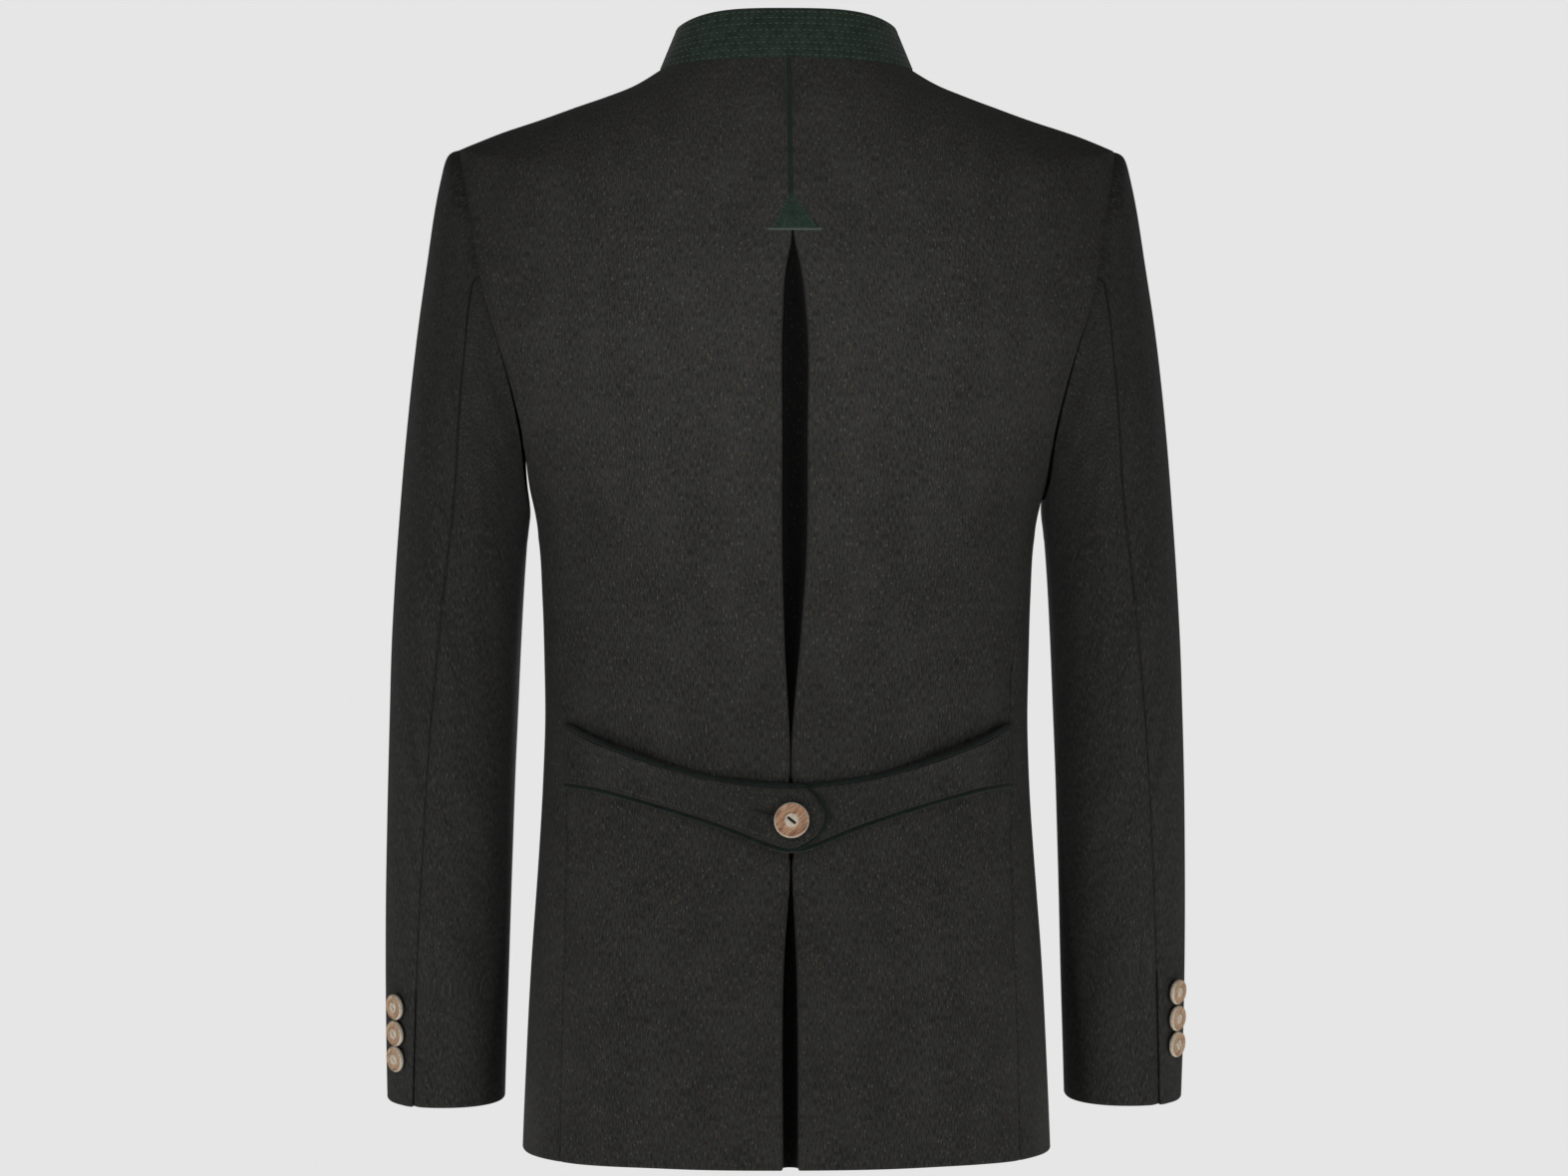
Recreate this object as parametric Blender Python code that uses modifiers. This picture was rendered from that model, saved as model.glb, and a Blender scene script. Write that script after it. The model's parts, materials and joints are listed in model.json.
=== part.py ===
"""Men's cashmere jacket with a stand collar, an inverted back pleat, a half belt and antler buttons.

Metres, +Z up. The wearer faces +Y, so the back faces -Y, and the wearer's right is +X.
The origin is the middle of the neck base, level with the shoulder points of the neckline.
Each piece is the cloth that a maker would cut, as a wall of its own, 0.3 mm from the next at its seams.
"""
import math

import bmesh
import bpy
import numpy as np
from mathutils import Matrix, Vector

MM = 0.001

# Cloth and gaps
CLOTH = 2.0 * MM
COLLAR_CLOTH = 2.6 * MM
BELT_CLOTH = 2.4 * MM
GAP = 0.3 * MM
LAYER_GAP = 0.5 * MM

# Body heights
HEM_Z = -0.7255
FRONT_HEM_DROP = 0.010
ARMPIT_Z = -0.2900
SIDE_RING_Z = -0.3144
SHOULDER_TIP_X = 0.2194
SHOULDER_TIP_Z = -0.0550
NECK_HALF_WIDTH = 0.0855
TIP_BACK_Z = -0.0880
TIP_FRONT_Z = -0.1400
NECK_BACK_Z = 0.0045
NECK_FRONT_Z = -0.0750
ARMHOLE_HALF_DEPTH = 0.0680
ARMHOLE_EGG = 0.15
SQUARENESS = 2.3

# Grid counts
BELOW_ARM_ROWS = 16
ARMHOLE_POINTS = 24
SIDE_COLUMNS = 6
SHOULDER_ROWS = 5
BACK_COLUMNS = 11
FRONT_COLUMNS = 8
LAP_SHARE = 1 / FRONT_COLUMNS
RING_SAMPLES = 90

# How the edge shared at the armhole is found: how far down the sleeve and into the body its directions look
RIM_STATION = 0.3
RIM_ROW = 0.985
RIM_SAMPLES = 6
SHOULDER_MIDDLE = (0.14, 0, -0.14)

# Half-width of the body by height: z, half_width
BODY_WIDTH = (
    (-0.7255, 0.1775),
    (-0.6783, 0.1760),
    (-0.6380, 0.1743),
    (-0.5976, 0.1719),
    (-0.5572, 0.1689),
    (-0.5168, 0.1662),
    (-0.4764, 0.1639),
    (-0.4361, 0.1625),
    (-0.3957, 0.1632),
    (-0.3553, 0.1646),
    (-0.3150, 0.1672),
    (-0.2900, 0.1722),
    (-0.2556, 0.1905),
)

# Centre-back profile: z, y
BACK_PROFILE = (
    (-0.7255, -0.1360),
    (-0.6600, -0.1310),
    (-0.6000, -0.1240),
    (-0.5500, -0.1170),
    (-0.5000, -0.1100),
    (-0.4500, -0.1070),
    (-0.4000, -0.1085),
    (-0.3500, -0.1130),
    (-0.3000, -0.1180),
    (-0.2500, -0.1215),
    (-0.2000, -0.1215),
    (-0.1500, -0.1155),
    (-0.1000, -0.1020),
    (-0.0600, -0.0860),
    (-0.0300, -0.0710),
    (0.0045, -0.0500),
)

# Centre-front profile: z, y
FRONT_PROFILE = (
    (-0.7355, 0.1400),
    (-0.6000, 0.1350),
    (-0.4500, 0.1280),
    (-0.3500, 0.1310),
    (-0.2500, 0.1360),
    (-0.2000, 0.1340),
    (-0.1500, 0.1230),
    (-0.1200, 0.1080),
    (-0.0750, 0.0750),
)

# Side seams, the same line in front and behind: z, x
SIDE_SEAM = (
    (-0.7255, 0.1505),
    (-0.6000, 0.1490),
    (-0.4800, 0.1475),
    (-0.4200, 0.1490),
    (-0.3600, 0.1540),
    (-0.3144, 0.1600),
    (-0.2850, 0.1672),
    (-0.2556, 0.1756),
)

# Armhole seam seen from behind: z, x
ARMHOLE_LINE = (
    (-0.2900, 0.1707),
    (-0.2825, 0.1722),
    (-0.2517, 0.1762),
    (-0.2247, 0.1820),
    (-0.1893, 0.1915),
    (-0.1599, 0.2005),
    (-0.1205, 0.2082),
    (-0.0959, 0.2120),
    (-0.0737, 0.2163),
    (-0.0550, 0.2194),
)

# Shoulder ridge: x, z
SHOULDER_LINE = (
    (0.0855, 0.0000),
    (0.1030, -0.0105),
    (0.1225, -0.0188),
    (0.1460, -0.0268),
    (0.1689, -0.0348),
    (0.1910, -0.0428),
    (0.2194, -0.0550),
)

# Edges of the two back halves at the centre: z, left_x, right_x
PLEAT_EDGES = (
    (-0.7255, -0.0061, 0.0039),
    (-0.5878, -0.0047, 0.0030),
    (-0.5300, -0.0006, 0.0005),
    (-0.5000, -0.0004, 0.0002),
    (-0.4549, -0.0005, 0.0003),
    (-0.3818, -0.0042, 0.0062),
    (-0.3350, -0.0057, 0.0096),
    (-0.2500, -0.0060, 0.0106),
    (-0.1750, -0.0056, 0.0102),
    (-0.1400, -0.0034, 0.0066),
    (-0.1180, 0.0006, 0.0022),
    (-0.1050, 0.0004, 0.0010),
)
PLEAT_FOLD_RADIUS = 2.6 * MM
PLEAT_FOLD_ANGLES = (-90, -35, 0, 45)
PLEAT_RETURN = 0.030
PLEAT_TOP_ROW = BELOW_ARM_ROWS + 8
UNDERLAY_LAP = 0.034
UNDERLAY_SINK = 4.0 * MM

# Soft folds of the body: side (-1 left, 1 right), angle from the side seam (-90 centre back,
# 90 centre front), spread in degrees, top z, bottom z, height
BODY_FOLDS = (
    (-1, -42, 9, -0.500, -0.760, 2.5 * MM),
    (-1, -62, 8, -0.520, -0.760, -2.0 * MM),
    (1, -38, 8, -0.490, -0.760, 2.5 * MM),
    (1, -60, 9, -0.520, -0.760, -2.0 * MM),
    (-1, 40, 10, -0.480, -0.760, 2.5 * MM),
    (1, 44, 10, -0.480, -0.760, 2.5 * MM),
)

# Sleeve rings: outer x and z, inner x and z, half depth, y of the middle, tilt in degrees,
# hind and fore seam angles
SLEEVE_RINGS = (
    (0.2194, -0.0550, 0.1707, -0.2900, 0.0680, 0.000, 0, -75.0, 135),
    (0.2266, -0.0590, 0.1715, -0.2935, 0.0690, 0.000, 0, -75.5, 135),
    (0.2312, -0.0740, 0.1722, -0.2970, 0.0705, 0.000, 0, -76.5, 134.5),
    (0.2362, -0.0969, 0.1728, -0.3004, 0.0722, -0.001, 0, -78.0, 134),
    (0.2418, -0.1300, 0.1733, -0.3038, 0.0738, -0.001, 0, -80.0, 133),
    (0.2474, -0.1670, 0.1737, -0.3070, 0.0748, -0.002, 0, -81.5, 132),
    (0.2520, -0.2070, 0.1741, -0.3104, 0.0755, -0.002, 0, -83.0, 131),
    (0.2559, -0.2500, 0.1745, -0.3145, 0.0758, -0.002, 0, -84.0, 130),
    (0.2594, -0.2948, 0.1752, -0.3210, 0.0755, -0.002, 0, -84.0, 129),
    (0.2630, -0.3420, 0.1770, -0.3500, 0.0735, -0.002, 0, -81.5, 128),
    (0.2659, -0.3880, 0.1789, -0.3900, 0.0705, -0.001, 0, -78.5, 127),
    (0.2675, -0.4320, 0.1807, -0.4320, 0.0675, 0.001, 0, -75.0, 126),
    (0.2687, -0.4760, 0.1827, -0.4760, 0.0645, 0.004, 1, -72.0, 125),
    (0.2697, -0.5200, 0.1844, -0.5200, 0.0618, 0.009, 1, -69.5, 124),
    (0.2706, -0.5640, 0.1861, -0.5640, 0.0592, 0.015, 2, -67.0, 123),
    (0.2710, -0.6080, 0.1877, -0.6080, 0.0565, 0.021, 2, -64.7, 122),
    (0.2709, -0.6520, 0.1893, -0.6520, 0.0540, 0.027, 3, -62.5, 121),
    (0.2706, -0.6945, 0.1906, -0.6945, 0.0520, 0.033, 3, -60.5, 120),
)
UPPER_SLEEVE_COLUMNS = 14
UNDER_SLEEVE_COLUMNS = 10
SLEEVE_SQUARENESS = 2.15
SLEEVE_SEAM_INSET = 0.4 * MM
CAP_RINGS = 7

# Collar top edge
COLLAR_TOP = {"half_width": 0.0735, "back": -0.0435, "front": 0.0600,
              "z_back": 0.0380, "z_side": 0.0290, "z_front": -0.0400}
COLLAR_ROWS = 3
COLLAR_END_GAP = 5 * MM
COLLAR_CORNER = 9 * MM

# Half belt, edges of its cloth without the piping: distance from the centre, upper z, lower z
BELT_EDGES = (
    (0.000, -0.4792, -0.5200),
    (0.0155, -0.4786, -0.5152),
    (0.040, -0.4760, -0.5052),
    (0.073, -0.4690, -0.4943),
    (0.100, -0.4600, -0.4866),
    (0.128, -0.4492, -0.4800),
    (0.148, -0.4400, -0.4778),
)
BELT_SEAM_X = 0.1470
BELT_TAB = ((0.0, 0.0060), (0.08, 0.0150), (0.30, 0.0225), (0.60, 0.0205), (1.0, 0.0110))
BELT_RIGHT_END_X = -0.0200
BELT_LIFT_START = -0.075
BELT_LIFT_END = -0.035
BELT_STAND_OFF = 4.0 * MM
BELT_COLUMNS = 14
BELT_BREADTH = (0.0, 0.10, 0.35, 0.65, 1.0)
BELT_PIPING_RADIUS = BELT_CLOTH / 2

# Centre piping and arrow
PIPING_RADIUS = 1.4 * MM
PIPING_TOP_Z = 0.0025
PIPING_POINTS = 11
ARROW_APEX = (0.0006, -0.0900)
ARROW_BASE_Z = -0.1139
ARROW_BASE_X = (-0.0130, 0.0182)
ARROW_CLOTH = 1.4 * MM
ARROW_STEPS = 5

# Buttons: diameter and thickness, and the thread shank under each
BELT_BUTTON = (0.0230, 0.0048)
CUFF_BUTTON = (0.0170, 0.0042)
FRONT_BUTTON = (0.0200, 0.0046)
SHANK_DIAMETER = 4.5 * MM
SHANK_HEIGHT = 1.6 * MM
BELT_BUTTON_PLACE = (0.0, -0.5006)
CUFF_BUTTON_ANGLE = -45
CUFF_BUTTON_TOP_Z = {-1: -0.6285, 1: -0.6195}
CUFF_BUTTON_PITCH = 0.0180
FRONT_BUTTON_TOP_Z = -0.105
FRONT_BUTTON_PITCH = 0.105
FRONT_BUTTONS = 5
FRONT_LAP = 0.022
FRONT_LAP_LIFT = CLOTH + LAYER_GAP
FRONT_LAP_FADE = (0.040, 0.080)
UNDER_LAP_TRIM = 3.0 * MM

TINY = 1e-3


def curve(xs, ys):
    """A smooth curve through points whose xs rise, as a function of x."""
    xs = np.asarray(xs, float)
    ys = np.asarray(ys, float)
    slopes = np.gradient(ys, xs)

    def value(x):
        x = np.clip(x, xs[0], xs[-1])
        i = np.clip(np.searchsorted(xs, x, side="right") - 1, 0, len(xs) - 2)
        step = xs[i + 1] - xs[i]
        s = (x - xs[i]) / step
        start = (1 + 2 * s) * (1 - s) ** 2 * ys[i] + s * (1 - s) ** 2 * step * slopes[i]
        end = s ** 2 * (3 - 2 * s) * ys[i + 1] + s ** 2 * (s - 1) * step * slopes[i + 1]
        return start + end

    return value


def column_curve(table, column):
    rows = np.array(table, float)
    return curve(rows[:, 0], rows[:, column])


def mix(a, b, t):
    return a + (b - a) * t


def ramp(x, start, end):
    """0 before start, 1 after end, and a soft rise between."""
    t = np.clip((x - start) / (end - start), 0, 1)
    return t * t * (3 - 2 * t)


def unit(vectors):
    return vectors / np.maximum(np.linalg.norm(vectors, axis=-1, keepdims=True), 1e-12)


def resample(points, fractions):
    """Points at the given fractions of a polyline's length."""
    steps = np.linalg.norm(np.diff(points, axis=0), axis=1)
    along = np.concatenate([[0], np.cumsum(steps)])
    wanted = np.asarray(fractions) * along[-1]
    return np.stack([np.interp(wanted, along, points[:, k]) for k in range(3)], axis=1)


body_width = column_curve(BODY_WIDTH, 1)
back_profile = column_curve(BACK_PROFILE, 1)
front_profile = column_curve(FRONT_PROFILE, 1)
side_seam = column_curve(SIDE_SEAM, 1)
armhole_line = column_curve(ARMHOLE_LINE, 1)
shoulder_line = column_curve(SHOULDER_LINE, 1)
pleat_left = column_curve(PLEAT_EDGES, 1)
pleat_right = column_curve(PLEAT_EDGES, 2)
belt_upper = column_curve(BELT_EDGES, 1)
belt_lower = column_curve(BELT_EDGES, 2)
belt_tab = column_curve(BELT_TAB, 1)
sleeve_ring_value = [curve(range(len(SLEEVE_RINGS)), np.array(SLEEVE_RINGS, float)[:, k]) for k in range(9)]


def armhole_point(turn):
    """A point of the right armhole seam. Turn is in degrees: 0 shoulder, 90 front, 180 armpit, 270 back."""
    turn = np.radians(turn)
    height = (1 + np.cos(turn)) / 2
    z = mix(ARMPIT_Z, SHOULDER_TIP_Z, height)
    y = ARMHOLE_HALF_DEPTH * np.sin(turn) * (1 - ARMHOLE_EGG * np.cos(turn))
    return np.stack([armhole_line(z), y, z], axis=-1)


BACK_COLUMN_SHARES = np.linspace(0, 1, BACK_COLUMNS + 1) ** 1.1
FRONT_COLUMN_SHARES = np.linspace(0, 1, FRONT_COLUMNS + 1)
JUNCTION_TURN = 225.0
JUNCTION = armhole_point(JUNCTION_TURN)
JUNCTION_BACK_Z = JUNCTION[2] - 0.016


def fold_height(side, angle, z):
    """How far the soft folds lift the cloth at an angle round the body and a height."""
    total = np.zeros_like(np.asarray(angle, float))
    for fold_side, centre, spread, top, bottom, height in BODY_FOLDS:
        if fold_side == side:
            across = np.exp(-((angle - centre) / spread) ** 2)
            total = total + height * across * ramp(top - z, 0, top - bottom)
    return total


def width_through(x, y, depth):
    """The half-width of a body ring of a known depth that passes through x and y."""
    return x / (1 - (abs(y) / depth) ** SQUARENESS) ** (1 / SQUARENESS)


def half_ring(v, face, side):
    """The outline of the body on one side at row position v, from the centre to the panel's outer edge.

    v runs 0 to 1 from the hem to where the side seam meets the armhole, 1 to 2 beside the armhole and
    2 to 3 along the shoulder. Face is -1 for the back and 1 for the front. X is positive on either side.
    """
    if v <= 1:
        edge_z = mix(HEM_Z, JUNCTION[2], v)
        above = np.clip((edge_z - SIDE_RING_Z) / (JUNCTION[2] - SIDE_RING_Z), 0, 1)
        centre_z = edge_z - (JUNCTION[2] - JUNCTION_BACK_Z) * above ** 1.5
        if face > 0:
            centre_z = centre_z - FRONT_HEM_DROP * (1 - ramp(edge_z, HEM_Z, HEM_Z + 0.15))
        edge_x = side_seam(edge_z)
        half_width = body_width(edge_z)
    elif v <= 2:
        turn = mix(JUNCTION_TURN, 360, v - 1)
        edge_x, edge_y, edge_z = armhole_point(turn)
        if face < 0:
            centre_z = mix(JUNCTION_BACK_Z, TIP_BACK_Z, v - 1)
        else:
            centre_z = mix(JUNCTION_BACK_Z, TIP_FRONT_Z, v - 1)
    else:
        edge_x = mix(SHOULDER_TIP_X, NECK_HALF_WIDTH, v - 2)
        edge_y = 0.0
        edge_z = shoulder_line(edge_x)
        if face < 0:
            centre_z = mix(TIP_BACK_Z, NECK_BACK_Z, v - 2)
        else:
            centre_z = mix(TIP_FRONT_Z, NECK_FRONT_Z, v - 2)
    depth = -back_profile(centre_z) if face < 0 else front_profile(centre_z)
    if v > 1:
        half_width = width_through(edge_x, edge_y, depth)
    elif above > 0:
        at_junction = -back_profile(JUNCTION_BACK_Z) if face < 0 else front_profile(JUNCTION_BACK_Z)
        full = width_through(JUNCTION[0], JUNCTION[1], at_junction)
        half_width = half_width + above ** 2 * (full - body_width(JUNCTION[2]))
    edge_angle = math.acos(min(1.0, (edge_x / half_width) ** (SQUARENESS / 2)))
    angle = np.linspace(math.pi / 2, edge_angle, RING_SAMPLES)
    x = half_width * np.cos(angle) ** (2 / SQUARENESS)
    y = depth * np.sin(angle) ** (2 / SQUARENESS)
    z = mix(edge_z, centre_z, 1 - (x / edge_x) ** 2)
    slope = unit(np.stack([(x / half_width) ** (SQUARENESS - 1) / half_width,
                           (y / depth) ** (SQUARENESS - 1) / depth], axis=1))
    lift = fold_height(side, face * np.degrees(angle), z)
    x = x + slope[:, 0] * lift
    y = y + slope[:, 1] * lift
    return np.stack([x, face * y, z], axis=1)


def start_at(points, x):
    """A row of points cut, or carried on in a straight line, to start where x is reached."""
    tangent = unit(points[2] - points[0])
    if x <= points[0][0]:
        first = points[0] + tangent * (x - points[0][0]) / tangent[0]
        return np.vstack([first, points])
    after = int(np.searchsorted(points[:, 0], x, side="right"))
    share = (x - points[after - 1][0]) / (points[after][0] - points[after - 1][0])
    return np.vstack([mix(points[after - 1], points[after], share), points[after:]])


def pleat_edge(side, z):
    """Distance of a back half's centre edge from the middle, positive to its own side."""
    return side * (pleat_left(z) if side < 0 else pleat_right(z))


def back_surface(side, fold_radius):
    """The back half as a surface (v, u): u 0 is at the centre edge and 1 at the side or armhole."""

    def row(v, u):
        points = half_ring(v, -1, side)
        centre_z = points[0][2]
        start = pleat_edge(side, centre_z) + fold_radius if fold_radius else GAP / 2
        points = resample(start_at(points, start), u)
        return points * (side, 1, 1)

    return row


def lap_lift(side, points):
    """How far forward the left front stands over the right one near the centre front."""
    if side > 0:
        return np.zeros(len(points))
    x, z = points[:, 0], points[:, 2]
    slope = (front_profile(z + TINY) - front_profile(z - TINY)) / (2 * TINY)
    fade = 1 - ramp(x, *FRONT_LAP_FADE)
    return FRONT_LAP_LIFT * np.sqrt(1 + slope ** 2) * fade


def front_surface(side):
    """A front as a surface (v, u): u 0 is its free edge, LAP_SHARE the centre front, 1 the side or armhole."""

    def row(v, u):
        points = half_ring(v, 1, side)
        u = np.asarray(u, float)
        own = resample(points, np.clip((u - LAP_SHARE) / (1 - LAP_SHARE), 0, 1))
        past = -FRONT_LAP * np.clip(1 - u / LAP_SHARE, 0, 1)
        lap = np.stack([np.interp(-past, points[:, 0], points[:, k]) for k in range(3)], axis=1) * (-1, 1, 1)
        points = np.where((u < LAP_SHARE)[:, None], lap, own)
        points[:, 1] += lap_lift(side, points)
        return points * (side, 1, 1)

    return row


def side_ring(z, side, u):
    """Points round the side panel on a level ring, from the back seam at u 0 to the front seam at u 1."""
    v = (z - HEM_Z) / (JUNCTION[2] - HEM_Z)
    half_width = body_width(z)
    seam = math.degrees(math.acos((side_seam(z) / half_width) ** (SQUARENESS / 2)))
    angle = np.radians(np.linspace(-seam, seam, RING_SAMPLES))
    drop = FRONT_HEM_DROP * (1 - ramp(z, HEM_Z, HEM_Z + 0.15))
    back = -back_profile(z)
    front = front_profile(z - drop)
    depth = np.where(angle < 0, back, front)
    x = half_width * np.cos(angle) ** (2 / SQUARENESS)
    y = depth * np.abs(np.sin(angle)) ** (2 / SQUARENESS)
    slope = unit(np.stack([(x / half_width) ** (SQUARENESS - 1) / half_width,
                           (y / depth) ** (SQUARENESS - 1) / depth], axis=1))
    lift = fold_height(side, np.degrees(angle), z)
    x = x + slope[:, 0] * lift
    y = np.sign(angle) * (y + slope[:, 1] * lift)
    points = np.stack([x, y, np.full_like(x, z)], axis=1)
    return resample(points, u)


def side_surface(side):
    """The side panel as a surface (v, u), v as on the back half up to 1, where the armhole's foot is."""
    ring_v = (SIDE_RING_Z - HEM_Z) / (JUNCTION[2] - HEM_Z)

    def row(v, u):
        if v <= ring_v:
            return side_ring(mix(HEM_Z, JUNCTION[2], v), side, u) * (side, 1, 1)
        t = (v - ring_v) / (1 - ring_v)
        ring = side_ring(SIDE_RING_Z, side, u)
        arc = armhole_point(mix(JUNCTION_TURN, 360 - JUNCTION_TURN, np.asarray(u)))
        ring_ends = side_ring(SIDE_RING_Z, side, (0.0, 1.0))
        arc_ends = armhole_point(np.array([JUNCTION_TURN, 360 - JUNCTION_TURN]))
        seam = np.array([half_ring(v, face, side)[-1] for face in (-1, 1)])
        fix = seam - mix(ring_ends, arc_ends, t)
        share = np.asarray(u)[:, None]
        return (mix(ring, arc, t) + mix(fix[0], fix[1], share)) * (side, 1, 1)

    return row


def sleeve_ring(j, turn):
    """Points of the right sleeve's ring at station j, at the given turns in degrees."""
    values = [value(j) for value in sleeve_ring_value[:7]]
    outer_x, outer_z, inner_x, inner_z, half_depth, middle_y, tilt = values
    angle = np.radians(turn)
    power = 2 / SLEEVE_SQUARENESS
    across = np.sign(np.cos(angle)) * np.abs(np.cos(angle)) ** power
    deep = np.sign(np.sin(angle)) * np.abs(np.sin(angle)) ** power
    middle = np.array([(outer_x + inner_x) / 2, middle_y, (outer_z + inner_z) / 2])
    half = np.array([(outer_x - inner_x) / 2, 0.0, (outer_z - inner_z) / 2])
    tilt = math.radians(tilt)
    depth = half_depth * np.array([0.0, math.cos(tilt), math.sin(tilt)])
    return middle + across[:, None] * half + deep[:, None] * depth


def sleeve_points(j, turn):
    """The sleeve's surface: its rings, eased into the armhole's own line near the top."""
    ease = max(0.0, 1 - j / CAP_RINGS) ** 1.5
    points = sleeve_ring(j, turn)
    if ease > 0:
        points = points + ease * (armhole_point(turn) - sleeve_ring(0, turn))
    return points


def sleeve_surface(side, part):
    """One sleeve piece as a surface (j, u). The upper runs from the hind seam over the top to the fore seam."""

    def row(j, u):
        hind = sleeve_ring_value[7](j)
        fore = sleeve_ring_value[8](j)
        start, end = (hind, fore) if part == "upper" else (fore, hind + 360)
        return sleeve_points(j, mix(start, end, np.asarray(u))) * (side, 1, 1)

    return row


def surface_normals(surface, v, u, limits, outward):
    """Unit normals of a surface at one row, pointing out of the garment."""
    u = np.asarray(u, float)
    low, high = np.clip(u - TINY, 0, 1), np.clip(u + TINY, 0, 1)
    along = surface(v, high) - surface(v, low)
    up = surface(min(v + TINY, limits[1]), u) - surface(max(v - TINY, limits[0]), u)
    return unit(np.cross(along, up)) * outward


def wall_grid(surface, vs, us, thickness, outward):
    """Outer and inner points of a wall on a surface, as two arrays of rows and columns."""
    limits = (vs[0], vs[-1])
    outer = np.array([surface(v, us) for v in vs])
    normals = np.array([surface_normals(surface, v, us, limits, outward) for v in vs])
    return outer, outer - thickness * normals


def draw_in(outer, inner, at_top=GAP / 2):
    """Move the first and last columns of a wall back from their seams, and by at_top in its first two rows."""
    amount = np.full((len(outer), 1), GAP / 2)
    amount[:2] = at_top
    for grid in (outer, inner):
        grid[:, 0] += amount * unit(grid[:, 1] - grid[:, 0])
        grid[:, -1] += amount * unit(grid[:, -2] - grid[:, -1])


def armhole_rim(side):
    """The shared inward edge and the gap direction at each armhole point, from the shoulder round the front."""
    turns = np.arange(ARMHOLE_POINTS) * 360 / ARMHOLE_POINTS
    points = armhole_point(turns)
    tangent = unit(np.roll(points, -1, axis=0) - np.roll(points, 1, axis=0))
    down_sleeve = unit(sleeve_points(RIM_STATION, turns) - points)
    into_body = np.zeros_like(points)
    for k, turn in enumerate(turns):
        if 360 - JUNCTION_TURN < turn < JUNCTION_TURN:
            u = (JUNCTION_TURN - turn) / (2 * JUNCTION_TURN - 360)
            near = side_surface(1)(RIM_ROW, [u])[0]
        else:
            face = -1 if turn >= JUNCTION_TURN or turn == 0 else 1
            v = 1 + ((turn if face < 0 else 360 - turn) % 360 - JUNCTION_TURN) / (360 - JUNCTION_TURN)
            v = 2.0 if turn == 0 else v
            near = half_ring(v, face, 1)[-RIM_SAMPLES]
        into_body[k] = near - points[k]
    into_body[0] *= (1, 0, 1)
    into_body = unit(into_body - tangent * np.sum(into_body * tangent, axis=1, keepdims=True))
    down_sleeve = unit(down_sleeve - tangent * np.sum(down_sleeve * tangent, axis=1, keepdims=True))
    across = unit(down_sleeve - into_body)
    inward = np.cross(tangent, across)
    inward *= np.sign(np.sum(inward * (np.array(SHOULDER_MIDDLE) - points), axis=1, keepdims=True))
    return inward * (side, 1, 1), across * (side, 1, 1)


def fit_armhole(outer, inner, index, places, rim, toward_sleeve):
    """Give a wall's edge points at the armhole the rim that its neighbours share, half a gap away."""
    inward, across = rim
    for place, k in zip(index, places):
        k = k % ARMHOLE_POINTS
        outer[place] = outer[place] + across[k] * toward_sleeve * GAP / 2
        inner[place] = outer[place] + inward[k] * CLOTH


def shell_mesh(name, outer, inner, keep=None):
    """A closed wall between two grids of points. Keep says which cells are cloth."""
    rows, columns = outer.shape[:2]
    if keep is None:
        keep = np.ones((rows - 1, columns - 1), bool)
    cells = [(r, c) for r in range(rows - 1) for c in range(columns - 1) if keep[r, c]]
    faces = []
    edge_count = {}
    for r, c in cells:
        corners = ((r, c), (r, c + 1), (r + 1, c + 1), (r + 1, c))
        faces.append([(0, p) for p in corners])
        faces.append([(1, p) for p in reversed(corners)])
        for start, end in zip(corners, corners[1:] + corners[:1]):
            if (end, start) in edge_count:
                edge_count.pop((end, start))
            else:
                edge_count[(start, end)] = True
    for start, end in edge_count:
        faces.append([(0, end), (0, start), (1, start), (1, end)])
    grids = (outer, inner)
    numbers = {}
    points = []
    for face in faces:
        for corner in face:
            if corner not in numbers:
                numbers[corner] = len(points)
                layer, (r, c) = corner
                points.append(grids[layer][r, c])
    mesh = bpy.data.meshes.new(name)
    mesh.from_pydata([tuple(p) for p in points], [], [[numbers[c] for c in face] for face in faces])
    work = bmesh.new()
    work.from_mesh(mesh)
    bmesh.ops.recalc_face_normals(work, faces=work.faces)
    work.to_mesh(mesh)
    work.free()
    mesh.shade_smooth()
    mesh.set_sharp_from_angle(angle=math.radians(50))
    return mesh


def make_material(name, colour, roughness, metallic=0.0):
    material = bpy.data.materials.new(name)
    material.use_nodes = True
    shader = material.node_tree.nodes["Principled BSDF"]
    shader.inputs["Base Color"].default_value = (*colour, 1)
    shader.inputs["Roughness"].default_value = roughness
    shader.inputs["Metallic"].default_value = metallic
    material.diffuse_color = (*colour, 1)
    return material


MELANGE = (0.040, 0.039, 0.034)
GREEN_WOOL = (0.016, 0.034, 0.024)
ANTLER = (0.42, 0.27, 0.16)


def add_object(name, mesh, colour, roughness):
    piece = bpy.data.objects.new(name, mesh)
    piece.data.materials.append(make_material(name, colour, roughness))
    jacket.objects.link(piece)
    return piece


def add_wall(name, outer, inner, colour=MELANGE, keep=None):
    return add_object(name, shell_mesh(name, outer, inner, keep), colour, 0.95)


def side_name(side):
    return "right" if side > 0 else "left"


def body_rows():
    below = list(np.linspace(0, 1, BELOW_ARM_ROWS + 1))
    armhole_rows = int(round(ARMHOLE_POINTS * (360 - JUNCTION_TURN) / 360))
    beside = [1 + k / armhole_rows for k in range(1, armhole_rows + 1)]
    shoulder = [2 + k / SHOULDER_ROWS for k in range(1, SHOULDER_ROWS + 1)]
    return below + beside + shoulder


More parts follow.
